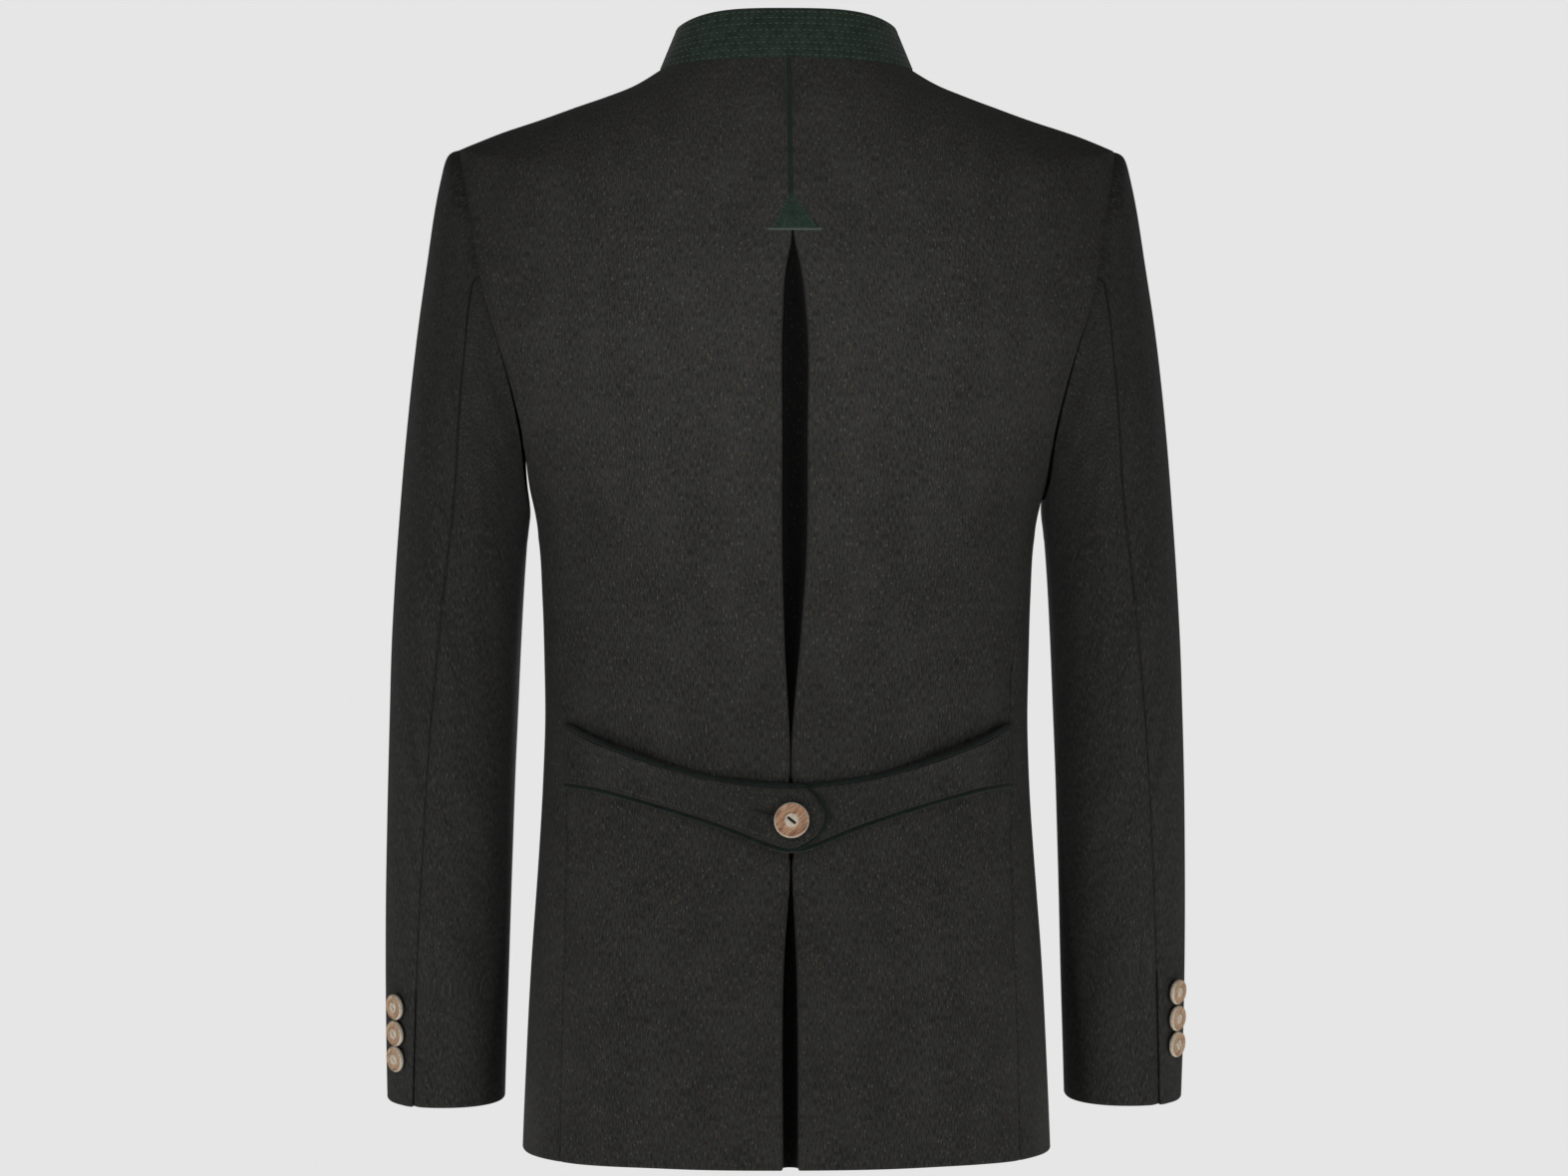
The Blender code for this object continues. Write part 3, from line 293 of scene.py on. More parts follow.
def curve(xs, ys):
    """A smooth curve through points whose xs rise, as a function of x."""
    xs = np.asarray(xs, float)
    ys = np.asarray(ys, float)
    slopes = np.gradient(ys, xs)

    def value(x):
        x = np.clip(x, xs[0], xs[-1])
        i = np.clip(np.searchsorted(xs, x, side="right") - 1, 0, len(xs) - 2)
        step = xs[i + 1] - xs[i]
        s = (x - xs[i]) / step
        start = (1 + 2 * s) * (1 - s) ** 2 * ys[i] + s * (1 - s) ** 2 * step * slopes[i]
        end = s ** 2 * (3 - 2 * s) * ys[i + 1] + s ** 2 * (s - 1) * step * slopes[i + 1]
        return start + end

    return value


def column_curve(table, column):
    """A table's column as a smooth function of its first column."""
    rows = np.array(table, float)
    return curve(rows[:, 0], rows[:, column])


def slope_of(profile, z):
    """How fast a profile changes with height."""
    return (profile(z + TINY) - profile(z - TINY)) / (2 * TINY)


def mix(a, b, t):
    return a + (b - a) * t


def ramp(x, start, end):
    """0 before start, 1 after end, and a soft rise between."""
    t = np.clip((x - start) / (end - start), 0, 1)
    return t * t * (3 - 2 * t)


def unit(vectors):
    return vectors / np.maximum(np.linalg.norm(vectors, axis=-1, keepdims=True), 1e-12)


def resample(points, fractions):
    """Points at the given fractions of a polyline's length."""
    steps = np.linalg.norm(np.diff(points, axis=0), axis=1)
    along = np.concatenate([[0], np.cumsum(steps)])
    wanted = np.asarray(fractions) * along[-1]
    return np.stack([np.interp(wanted, along, points[:, k]) for k in range(3)], axis=1)


body_width = column_curve(BODY_WIDTH, 1)
back_profile = column_curve(BACK_PROFILE, 1)
front_profile = column_curve(FRONT_PROFILE, 1)
side_seam = column_curve(SIDE_SEAM, 1)
armhole_line = column_curve(ARMHOLE_LINE, 1)
shoulder_line = column_curve(SHOULDER_LINE, 1)
pleat_left = column_curve(PLEAT_EDGES, 1)
pleat_right = column_curve(PLEAT_EDGES, 2)
belt_upper = column_curve(BELT_EDGES, 1)
belt_lower = column_curve(BELT_EDGES, 2)
belt_tab = column_curve(BELT_TAB, 1)
sleeve_ring_value = [curve(range(len(SLEEVE_RINGS)), np.array(SLEEVE_RINGS, float)[:, k]) for k in range(9)]


def armhole_point(turn):
    """A point of the right armhole seam. Turn is in degrees: 0 shoulder, 90 front, 180 armpit, 270 back."""
    turn = np.radians(turn)
    height = (1 + np.cos(turn)) / 2
    z = mix(ARMPIT_Z, SHOULDER_TIP_Z, height)
    y = ARMHOLE_HALF_DEPTH * np.sin(turn) * (1 - ARMHOLE_EGG * np.cos(turn))
    return np.stack([armhole_line(z), y, z], axis=-1)


# Where the side seam meets the armhole
JUNCTION = armhole_point(JUNCTION_TURN)
JUNCTION_BACK_Z = JUNCTION[2] - JUNCTION_BACK_DROP


def fold_height(side, angle, z):
    """How far the soft folds lift the cloth at an angle round the body and a height."""
    total = np.zeros_like(np.asarray(angle, float))
    for fold_side, centre, spread, top, bottom, height in BODY_FOLDS:
        if fold_side == side:
            across = np.exp(-((angle - centre) / spread) ** 2)
            total = total + height * across * ramp(top - z, 0, top - bottom)
    return total


def width_through(x, y, depth):
    """The half-width of a body ring of a known depth that passes through x and y."""
    return x / (1 - (abs(y) / depth) ** SQUARENESS) ** (1 / SQUARENESS)


def ring_slope(x, y, half_width, depth):
    """Which way a body ring faces at x and y."""
    return unit(np.stack([(x / half_width) ** (SQUARENESS - 1) / half_width,
                          (y / depth) ** (SQUARENESS - 1) / depth], axis=1))


def half_ring(v, face, side):
    """The outline of the body on one side at row position v, from the centre to the panel's outer edge.

    v runs 0 to 1 from the hem to where the side seam meets the armhole, 1 to 2 beside the armhole and
    2 to 3 along the shoulder. Face is -1 for the back and 1 for the front. X is positive on either side.
    """
    if v <= 1:
        edge_z = mix(HEM_Z, JUNCTION[2], v)
        above = np.clip((edge_z - SIDE_RING_Z) / (JUNCTION[2] - SIDE_RING_Z), 0, 1)
        centre_z = edge_z - (JUNCTION[2] - JUNCTION_BACK_Z) * above ** 1.5
        if face > 0:
            centre_z = centre_z - FRONT_HEM_DROP * (1 - ramp(edge_z, HEM_Z, HEM_Z + HEM_DROP_FADE))
        edge_x = side_seam(edge_z)
        half_width = body_width(edge_z)
    elif v <= 2:
        turn = mix(JUNCTION_TURN, 360, v - 1)
        edge_x, edge_y, edge_z = armhole_point(turn)
        if face < 0:
            centre_z = mix(JUNCTION_BACK_Z, TIP_BACK_Z, v - 1)
        else:
            centre_z = mix(JUNCTION_BACK_Z, TIP_FRONT_Z, v - 1)
    else:
        edge_x = mix(SHOULDER_TIP_X, NECK_HALF_WIDTH, v - 2)
        edge_y = 0.0
        edge_z = shoulder_line(edge_x)
        if face < 0:
            centre_z = mix(TIP_BACK_Z, NECK_BACK_Z, v - 2)
        else:
            centre_z = mix(TIP_FRONT_Z, NECK_FRONT_Z, v - 2)
    depth = -back_profile(centre_z) if face < 0 else front_profile(centre_z)
    if v > 1:
        half_width = width_through(edge_x, edge_y, depth)
    elif above > 0:
        at_junction = -back_profile(JUNCTION_BACK_Z) if face < 0 else front_profile(JUNCTION_BACK_Z)
        full = width_through(JUNCTION[0], JUNCTION[1], at_junction)
        half_width = half_width + above ** 2 * (full - body_width(JUNCTION[2]))
    edge_angle = math.acos(min(1.0, (edge_x / half_width) ** (SQUARENESS / 2)))
    angle = np.linspace(math.pi / 2, edge_angle, RING_SAMPLES)
    x = half_width * np.cos(angle) ** (2 / SQUARENESS)
    y = depth * np.sin(angle) ** (2 / SQUARENESS)
    z = mix(edge_z, centre_z, 1 - (x / edge_x) ** 2)
    slope = ring_slope(x, y, half_width, depth)
    lift = fold_height(side, face * np.degrees(angle), z)
    x = x + slope[:, 0] * lift
    y = y + slope[:, 1] * lift
    return np.stack([x, face * y, z], axis=1)


def start_at(points, x):
    """A row of points cut, or carried on in a straight line, to start where x is reached."""
    tangent = unit(points[2] - points[0])
    if x <= points[0][0]:
        first = points[0] + tangent * (x - points[0][0]) / tangent[0]
        return np.vstack([first, points])
    after = int(np.searchsorted(points[:, 0], x, side="right"))
    share = (x - points[after - 1][0]) / (points[after][0] - points[after - 1][0])
    return np.vstack([mix(points[after - 1], points[after], share), points[after:]])


def pleat_edge(side, z):
    """Distance of a back half's centre edge from the middle, positive to its own side."""
    return side * (pleat_left(z) if side < 0 else pleat_right(z))


def back_row(side, v, u):
    """A row of the back half: u 0 is at the pleat's fold, or the centre seam above it, and 1 at the side."""
    points = half_ring(v, -1, side)
    closed = ramp(v, PLEAT_TOP_V, PLEAT_TOP_V + PLEAT_CLOSING_V)
    start = mix(pleat_edge(side, points[0][2]) + PLEAT_FOLD_RADIUS, GAP / 2, closed)
    return resample(start_at(points, start), u) * (side, 1, 1)


def lap_lift(side, points):
    """How far forward the left front stands over the right one near the centre front."""
    if side > 0:
        return np.zeros(len(points))
    x, z = points[:, 0], points[:, 2]
    slope = slope_of(front_profile, z)
    fade = 1 - ramp(x, *FRONT_LAP_FADE)
    return FRONT_LAP_LIFT * np.sqrt(1 + slope ** 2) * fade


def front_surface(side):
    """A front as a surface (v, u): u 0 is its free edge, LAP_SHARE the centre, and 1 the outer edge."""

    def row(v, u):
        points = half_ring(v, 1, side)
        u = np.asarray(u, float)
        own = resample(points, np.clip((u - LAP_SHARE) / (1 - LAP_SHARE), 0, 1))
        past = -FRONT_LAP * np.clip(1 - u / LAP_SHARE, 0, 1)
        lap = np.stack([np.interp(-past, points[:, 0], points[:, k]) for k in range(3)], axis=1) * (-1, 1, 1)
        points = np.where((u < LAP_SHARE)[:, None], lap, own)
        points[:, 1] += lap_lift(side, points)
        return points * (side, 1, 1)

    return row


def side_ring(z, side, u):
    """Points round the side panel on a level ring, from the back seam at u 0 to the front seam at u 1."""
    v = (z - HEM_Z) / (JUNCTION[2] - HEM_Z)
    half_width = body_width(z)
    seam = math.degrees(math.acos((side_seam(z) / half_width) ** (SQUARENESS / 2)))
    angle = np.radians(np.linspace(-seam, seam, RING_SAMPLES))
    drop = FRONT_HEM_DROP * (1 - ramp(z, HEM_Z, HEM_Z + HEM_DROP_FADE))
    back = -back_profile(z)
    front = front_profile(z - drop)
    depth = np.where(angle < 0, back, front)
    x = half_width * np.cos(angle) ** (2 / SQUARENESS)
    y = depth * np.abs(np.sin(angle)) ** (2 / SQUARENESS)
    slope = ring_slope(x, y, half_width, depth)
    lift = fold_height(side, np.degrees(angle), z)
    x = x + slope[:, 0] * lift
    y = np.sign(angle) * (y + slope[:, 1] * lift)
    points = np.stack([x, y, np.full_like(x, z)], axis=1)
    return resample(points, u)


def side_surface(side):
    """The side panel as a surface (v, u), v as on the back half up to 1, where the armhole's foot is."""
    ring_v = (SIDE_RING_Z - HEM_Z) / (JUNCTION[2] - HEM_Z)

    def row(v, u):
        if v <= ring_v:
            return side_ring(mix(HEM_Z, JUNCTION[2], v), side, u) * (side, 1, 1)
        t = (v - ring_v) / (1 - ring_v)
        ring = side_ring(SIDE_RING_Z, side, u)
        arc = armhole_point(mix(JUNCTION_TURN, 360 - JUNCTION_TURN, np.asarray(u)))
        ring_ends = side_ring(SIDE_RING_Z, side, (0.0, 1.0))
        arc_ends = armhole_point(np.array([JUNCTION_TURN, 360 - JUNCTION_TURN]))
        seam = np.array([half_ring(v, face, side)[-1] for face in (-1, 1)])
        fix = seam - mix(ring_ends, arc_ends, t)
        share = np.asarray(u)[:, None]
        return (mix(ring, arc, t) + mix(fix[0], fix[1], share)) * (side, 1, 1)

    return row


def sleeve_ring(j, turn):
    """Points of the right sleeve's ring at station j, at the given turns in degrees."""
    values = [value(j) for value in sleeve_ring_value[:7]]
    outer_x, outer_z, inner_x, inner_z, half_depth, middle_y, tilt = values
    angle = np.radians(turn)
    power = 2 / SLEEVE_SQUARENESS
    across = np.sign(np.cos(angle)) * np.abs(np.cos(angle)) ** power
    deep = np.sign(np.sin(angle)) * np.abs(np.sin(angle)) ** power
    middle = np.array([(outer_x + inner_x) / 2, middle_y, (outer_z + inner_z) / 2])
    half = np.array([(outer_x - inner_x) / 2, 0.0, (outer_z - inner_z) / 2])
    tilt = math.radians(tilt)
    depth = half_depth * np.array([0.0, math.cos(tilt), math.sin(tilt)])
    return middle + across[:, None] * half + deep[:, None] * depth


def sleeve_points(j, turn):
    """The sleeve's surface: its rings, eased into the armhole's own line near the top."""
    ease = max(0.0, 1 - j / CAP_RINGS) ** 1.5
    points = sleeve_ring(j, turn)
    if ease > 0:
        points = points + ease * (armhole_point(turn) - sleeve_ring(0, turn))
    return points


def sleeve_surface(side, part):
    """One sleeve piece as a surface (j, u). The upper one runs from the hind seam over the top."""

    def row(j, u):
        hind = sleeve_ring_value[7](j)
        fore = sleeve_ring_value[8](j)
        start, end = (hind, fore) if part == "upper" else (fore, hind + 360)
        return sleeve_points(j, mix(start, end, np.asarray(u))) * (side, 1, 1)

    return row


def side_name(side):
    return "right" if side > 0 else "left"


def collar_top(foot):
    """The collar's top edge over each point of its foot."""
    x = foot[:, 0] * COLLAR_TOP["half_width"] / NECK_HALF_WIDTH
    share = np.clip(np.abs(x) / COLLAR_TOP["half_width"], 0, 1)
    to_front = foot[:, 1] > 0
    depth = np.where(to_front, COLLAR_TOP["front"], COLLAR_TOP["back"])
    y = depth * (1 - share ** SQUARENESS) ** (1 / SQUARENESS)
    z_end = np.where(to_front, COLLAR_TOP["z_front"], COLLAR_TOP["z_back"])
    z = mix(COLLAR_TOP["z_side"], z_end, 1 - share ** np.where(to_front, 2, 4))
    return np.stack([x, y, z], axis=1)


def back_place(x, z, lift=0.0):
    """A point on the outside of the back below the arms, at x and z, moved out by lift, and its normal."""
    side = 1 if x >= 0 else -1

    def on_back(px, pz):
        half_width = body_width(pz)
        depth = -back_profile(pz)
        share = (abs(px) / half_width) ** SQUARENESS
        angle = -math.degrees(math.acos(min(1.0, (abs(px) / half_width) ** (SQUARENESS / 2))))
        rise = float(fold_height(side, angle, pz))
        y = -depth * (1 - share) ** (1 / SQUARENESS) - rise * (1 - share)
        return np.array([px, y, pz])

    here = on_back(x, z)
    across = on_back(x + TINY / 4, z) - on_back(x - TINY / 4, z)
    up = on_back(x, z + TINY) - on_back(x, z - TINY)
    normal = unit(np.cross(across, up))
    return here + lift * normal, normal


def upper_back_place(x, z, lift=0.0):
    """A point on the outside of the upper back near the centre, at x and z, moved out by lift."""
    slope = slope_of(back_profile, z)
    normal = unit(np.array([0.0, -1.0, float(slope)]))
    return np.array([x, float(back_profile(z)), z]) + lift * normal, normal


def belt_offset(side, x, breadth):
    """How far a belt half's inner side lies off the back: lapped at the middle, loose near its seam."""
    own = side * x
    stand = BELT_STAND_OFF * breadth ** 2 * ramp(own, *BELT_STAND_RISE) * (1 - ramp(own, *BELT_STAND_FALL))
    lap = 0.0
    if side < 0:
        lap = (BELT_CLOTH + LAYER_GAP) * ramp(x, BELT_LIFT_START, BELT_LIFT_END)
    return LAYER_GAP + stand + lap


def belt_grid(side, columns, breadths):
    """Points of a belt half, each with its normal and offset, from the seam to its inner end."""
    grid = []
    for breadth in breadths:
        line = []
        end = belt_tab(breadth) if side < 0 else BELT_RIGHT_END_X
        for share in np.linspace(0, 1, columns + 1):
            x = mix(side * BELT_SEAM_X, end, share)
            z = mix(belt_lower(abs(x)), belt_upper(abs(x)), breadth)
            point, normal = back_place(x, z)
            line.append((point, normal, belt_offset(side, x, breadth)))
        grid.append(line)
    return grid


def belt_piping_route(middle, normals, side):
    """The line of the piping just off a belt half's edges: upper edge, inner end, lower edge."""
    outline = np.vstack([middle[-1], middle[-2:0:-1, -1], middle[0, ::-1]])
    facing = np.vstack([normals[-1], normals[-2:0:-1, -1], normals[0, ::-1]])
    steps = unit(np.diff(outline, axis=0))
    steps = np.vstack([steps[:1], steps, steps[-1:]])
    away_before = unit(np.cross(steps[:-1], facing)) * side
    away_after = unit(np.cross(steps[1:], facing)) * side
    away = unit(away_before + away_after)
    reach = (BELT_PIPING_RADIUS + GAP) / np.sum(away * away_after, axis=1, keepdims=True)
    return outline + away * reach


# Grid of the fine cloth, and how its edges roll in at seams: width and depth
ROW_STEP = 3.6 * MM
COLUMN_STEP = 3.8 * MM
FRONT_COLUMN_STEP = 5.0 * MM
EDGE_STEPS = np.array((0.0, 0.5, 1.1, 1.9, 3.0)) * MM
SEAM = (2.6 * MM, 0.9 * MM)
DEEP_SEAM = (3.2 * MM, 1.9 * MM)
FOLDED_EDGE = (1.4 * MM, 0.7 * MM)
PATCH_EDGE = (0.9 * MM, 0.5 * MM)
TUCKED_EDGE = (3.6 * MM, 1.7 * MM)
PLAIN = (1.0 * MM, 0.0)
VENT_LAP = 5.0 * MM
VENT_DIP = 1.7 * MM
VENT_RISE = 0.7 * MM
VENT_FADE = 8 * MM
SEAM_TUCK = 2.4 * MM
TUCK_ROLL = 5.0 * MM
HEAD_FILL = 1.8 * MM
ARMPIT_TROUGH = 2.2 * MM
ARMPIT_TROUGH_WIDTH = 7 * MM
SIDE_TUCK_DIP = 1.2 * MM
HEAD_DIP = 0.35 * MM
HEAD_ROLL_WIDTH = 2.6 * MM
UNDER_ARM_DIP = 0.9 * MM
SIDE_TOP_DIP = 0.3 * MM
SHOULDER_FILL_REACH = 0.045
ARMHOLE_LENGTH = 0.225
SHOULDER_LENGTH = 0.137
BACK_BREADTH = 0.235
FRONT_BREADTH = 0.260
SIDE_BREADTH = 0.130
SLEEVE_LENGTH = 0.640
SLEEVE_BREADTH = {"upper": 0.270, "under": 0.180}
PLEAT_DEPTH = 16.0 * MM
PLEAT_FOLD_TURNS = np.radians(np.linspace(-90, 76, 10))
PLEAT_OPENING = (4 * MM, 13 * MM)
VENT_TOP_Z = {-1: -0.612, 1: -0.600}

# Creases of the body: x and z of each end, half width, height
BACK_CREASES = (
    (-0.150, -0.230, -0.085, -0.330, 0.014, -0.9 * MM),
    (0.152, -0.235, 0.095, -0.340, 0.014, -0.9 * MM),
    (-0.158, -0.300, -0.120, -0.420, 0.012, 0.8 * MM),
    (0.158, -0.310, 0.130, -0.430, 0.012, 0.8 * MM),
    (-0.146, -0.400, -0.128, -0.455, 0.006, -0.9 * MM),
    (0.149, -0.395, 0.141, -0.450, 0.005, -1.6 * MM),
    (-0.060, -0.530, -0.072, -0.700, 0.016, 1.2 * MM),
    (0.058, -0.530, 0.070, -0.690, 0.015, -1.2 * MM),
    (-0.105, -0.505, -0.112, -0.640, 0.011, -1.0 * MM),
    (0.104, -0.500, 0.108, -0.660, 0.012, 1.0 * MM),
    (-0.030, -0.540, -0.034, -0.640, 0.008, -0.7 * MM),
)
FRONT_CREASES = (
    (-0.150, -0.235, -0.100, -0.320, 0.013, -0.9 * MM),
    (0.148, -0.240, 0.092, -0.330, 0.014, -0.9 * MM),
    (-0.135, -0.380, -0.060, -0.430, 0.010, 0.8 * MM),
    (0.138, -0.385, 0.066, -0.440, 0.011, 0.8 * MM),
    (-0.080, -0.500, -0.092, -0.700, 0.014, 1.1 * MM),
    (0.086, -0.510, 0.094, -0.690, 0.015, 1.1 * MM),
)
# Creases of the sleeves: side, turn and z of each end, half width, height
SLEEVE_CREASES = (
    (-1, -86, -0.135, -42, -0.190, 0.009, -1.1 * MM),
    (1, -84, -0.150, -50, -0.215, 0.009, -0.9 * MM),
    (-1, -150, -0.300, -105, -0.330, 0.008, -1.0 * MM),
    (1, -150, -0.295, -100, -0.335, 0.008, -1.2 * MM),
    (-1, -145, -0.345, -90, -0.372, 0.009, 0.8 * MM),
    (1, -150, -0.350, -88, -0.384, 0.010, 0.9 * MM),
    (-1, 60, -0.385, 130, -0.360, 0.010, -1.3 * MM),
    (1, 64, -0.388, 132, -0.366, 0.010, -1.3 * MM),
    (-1, 70, -0.425, 135, -0.405, 0.009, -1.1 * MM),
    (1, 66, -0.430, 130, -0.404, 0.010, -1.1 * MM),
    (-1, 80, -0.345, 140, -0.330, 0.009, -0.9 * MM),
    (1, 84, -0.350, 142, -0.330, 0.009, -0.9 * MM),
    (-1, -70, -0.420, -20, -0.440, 0.012, -0.6 * MM),
    (1, -66, -0.560, -30, -0.590, 0.012, -0.6 * MM),
)
SLEEVE_RADIUS = 0.062

# Stitching: length of a stitch, space to the next and thickness of the thread
COLLAR_STITCH = (2.3 * MM, 1.9 * MM, 0.60 * MM)
PICK_STITCH = (1.5 * MM, 2.3 * MM, 0.50 * MM)
ARROW_STITCH = (1.7 * MM, 0.8 * MM, 0.45 * MM)
PURL_STITCH = (0.95 * MM, 0.05 * MM, 0.60 * MM)
COLLAR_STITCH_LEVELS = np.linspace(0.045, 0.93, 8)
COLLAR_HEIGHT = 0.036
COLLAR_TUCK = 2.0 * MM
STITCH_LIFT = 0.10 * MM
COLLAR_ROW_STEP = 0.6 * MM
COLLAR_COLUMN_STEP = 2.4 * MM
COLLAR_PUFF = 0.30 * MM
COLLAR_PUFF_WIDTH = 0.9 * MM

# Half widths and half heights of the cords and slits
CENTRE_STRIP = (1.9 * MM, 1.0 * MM)
CENTRE_STRIP_GROOVE = 0.75 * MM
ARROW_CORD = (0.8 * MM, 0.6 * MM)
BELT_CORD = (1.5 * MM, 1.35 * MM)
SLIT = (0.70 * MM, 0.30 * MM)
PURL_HALF_WIDTH = 1.15 * MM
PURL_PAST_END = 0.7 * MM

# How the back sinks beside the half belt and the belt springs off it: middle and width of each groove, and
# the distances from the centre over which an end's gape rises and falls
BELT_GAPE = {-1: 2.4 * MM, 1: 3.6 * MM}
BELT_GROOVE = 1.2 * MM
GROOVE_ABOVE = (2.5 * MM, 4.5 * MM)
GROOVE_BELOW = (2.5 * MM, 4.0 * MM)
GAPE_RISE = (0.055, 0.105)
GAPE_FALL = (0.140, 0.149)
UNDER_BELT_FADE = 0.012
BELT_SPRING = 1.4 * MM
SPRING_RISE = (0.060, 0.105)
SPRING_FALL = (0.130, 0.147)

# Buttonholes: x and z of the belt's, and x and rise over the lap of each front one
BELT_BUTTONHOLE = ((-0.0240, -0.4938), (-0.0123, -0.4967), (-0.0040, -0.4985))
FRONT_BUTTONHOLE = ((0.004, 0.05 * MM), (-0.008, 0.0), (-0.019, -0.2 * MM))

# Rings of a button's face and of its edge, as shares of its radius, and of its thickness for the edge
BUTTON_MIDDLE_RINGS = np.linspace(0.035, 0.49, 14)
BUTTON_OUTER_RINGS = (0.56, 0.64, 0.72, 0.80, 0.86, 0.90, 0.93, 0.96, 0.98)
BUTTON_EDGE = ((1.0, 0.30), (1.01, 0.50), (0.99, 0.70), (0.92, 0.88), (0.80, 1.0))
BUTTON_SIDES = 48

# Lamps: name, place, aim, size, power in watts, spread in degrees
LAMPS = (
    ("upper back lamp", (-0.25, -3.0, -0.40), (0, 0, -0.07), 0.35, 0.29, 13.0),
    ("skirt lamp", (-0.30, -2.6, 1.30), (0, 0, -0.78), 0.4, 0.115, 18),
    ("left sleeve lamp", (-1.7, -2.4, -0.80), (-0.235, 0, -0.60), 0.5, 0.235, 18),
    ("right sleeve lamp", (1.7, -2.4, -0.80), (0.235, 0, -0.60), 0.5, 0.235, 18),
    ("front side lamp", (0.30, 3.2, -0.20), (0, 0, -0.35), 1.2, 5.0, 60),
)
SURROUND_SEEN = 0.79
SURROUND_LIGHT = 0.06
FLOOR_RADIUS = 5.0
FLOOR_SIDES = 96
FLOOR_Z = -1.45
FLOOR_GLOW = 0.55

# Camera: the photograph's width, the focal length and the sideways shift in its pixels
PHOTO_WIDTH = 1573
FOCAL_PIXELS = 4755
SHIFT_PIXELS = -2.5
SENSOR_WIDTH = 36
CAMERA_PLACE = (-0.0893, -3.1988, -0.3486)
CAMERA_TURN = -1.6

# Flecks of the melange: cell across and along the grain, shift of the pattern, reach in a cell, share of
# cells with a fleck, strength, colour
MELANGE_FLECKS = (
    ((2.2 * MM, 4.6 * MM), (0.3, 0.7), 0.30, 0.34, 0.60, (0.125, 0.122, 0.108)),
    ((2.7 * MM, 5.0 * MM), (5.2, 2.6), 0.28, 0.30, 0.62, (0.110, 0.066, 0.034)),
    ((2.9 * MM, 5.6 * MM), (9.4, 6.1), 0.28, 0.24, 0.55, (0.088, 0.084, 0.040)),
)


class Wire:
    """A value in a material's nodes, with its sums written as they read."""

    def __init__(self, tree, socket):
        self.tree = tree
        self.socket = socket

    def node(self, kind, inputs, output=0, **settings):
        """Any other node, fed by wires and plain values."""
        made = self.tree.nodes.new(kind)
        for key, value in settings.items():
            setattr(made, key, value)
        for key, value in inputs.items():
            if isinstance(value, Wire):
                self.tree.links.new(value.socket, made.inputs[key])
            else:
                made.inputs[key].default_value = value
        return Wire(self.tree, made.outputs[output])

    def sum_of(self, operation, *values):
        return self.node("ShaderNodeMath", dict(enumerate(values)), operation=operation)

    def __add__(self, other):
        return self.sum_of("ADD", self, other)

    def __mul__(self, other):
        return self.sum_of("MULTIPLY", self, other)

    __radd__ = __add__
    __rmul__ = __mul__

    def rise(self, low, high):
        """0 at low, 1 at high and a soft change between."""
        return self.node("ShaderNodeMapRange", {"Value": self, "From Min": low, "From Max": high},
                         interpolation_type="SMOOTHSTEP")

    def tint(self, plain, marked):
        """A colour between two others, at this share."""
        plain = plain if isinstance(plain, Wire) else (*plain, 1)
        marked = marked if isinstance(marked, Wire) else (*marked, 1)
        return self.node("ShaderNodeMix", {0: self, 6: plain, 7: marked}, 2, data_type="RGBA")

    def scaled(self, size, shift=(0, 0, 0)):
        """Coordinates counted in steps of the given size."""
        per_metre = tuple(1 / s for s in size)
        steps = self.node("ShaderNodeVectorMath", {0: self, 1: per_metre}, operation="MULTIPLY")
        return self.node("ShaderNodeVectorMath", {0: steps, 1: shift}, operation="ADD")

    def noise(self, detail=2.0):
        return self.node("ShaderNodeTexNoise", {"Vector": self, "Scale": 1.0, "Detail": detail})

    def flecks(self, reach, share):
        """Short marks in some of the cells of a net: 1 on a mark."""
        cell = {"Vector": self, "Scale": 1.0, "Randomness": 1.0}
        near = self.node("ShaderNodeTexVoronoi", cell, 0)
        kept = Wire(self.tree, near.socket.node.outputs["Color"])
        kept = kept.node("ShaderNodeSeparateColor", {"Color": kept}, 0)
        return near.rise(reach, reach * 0.45) * kept.rise(share + 0.02, share - 0.02)


def start_material(name, colour, roughness, sheen, specular=0.3):
    """A new material, a wire to draw on in its tree, and its shader."""
    material = bpy.data.materials.new(name)
    material.use_nodes = True
    material.diffuse_color = (*colour, 1)
    tree = material.node_tree
    shader = tree.nodes["Principled BSDF"]
    shader.inputs["Base Color"].default_value = (*colour, 1)
    shader.inputs["Roughness"].default_value = roughness
    shader.inputs["Sheen Weight"].default_value = sheen
    shader.inputs["Sheen Roughness"].default_value = 0.5
    shader.inputs["Specular IOR Level"].default_value = specular
    return material, Wire(tree, None), shader


def plug(shader, name, wire):
    wire.tree.links.new(wire.socket, shader.inputs[name])


def roughen(shader, height, depth):
    """Small relief from a height between 0 and 1, of the given depth in metres."""
    relief = height.node("ShaderNodeBump", {"Height": height, "Distance": depth, "Strength": 1.0})
    plug(shader, "Normal", relief)


def shade(tone, share):
    """A darker or lighter tone."""
    return tuple(share * c for c in tone)


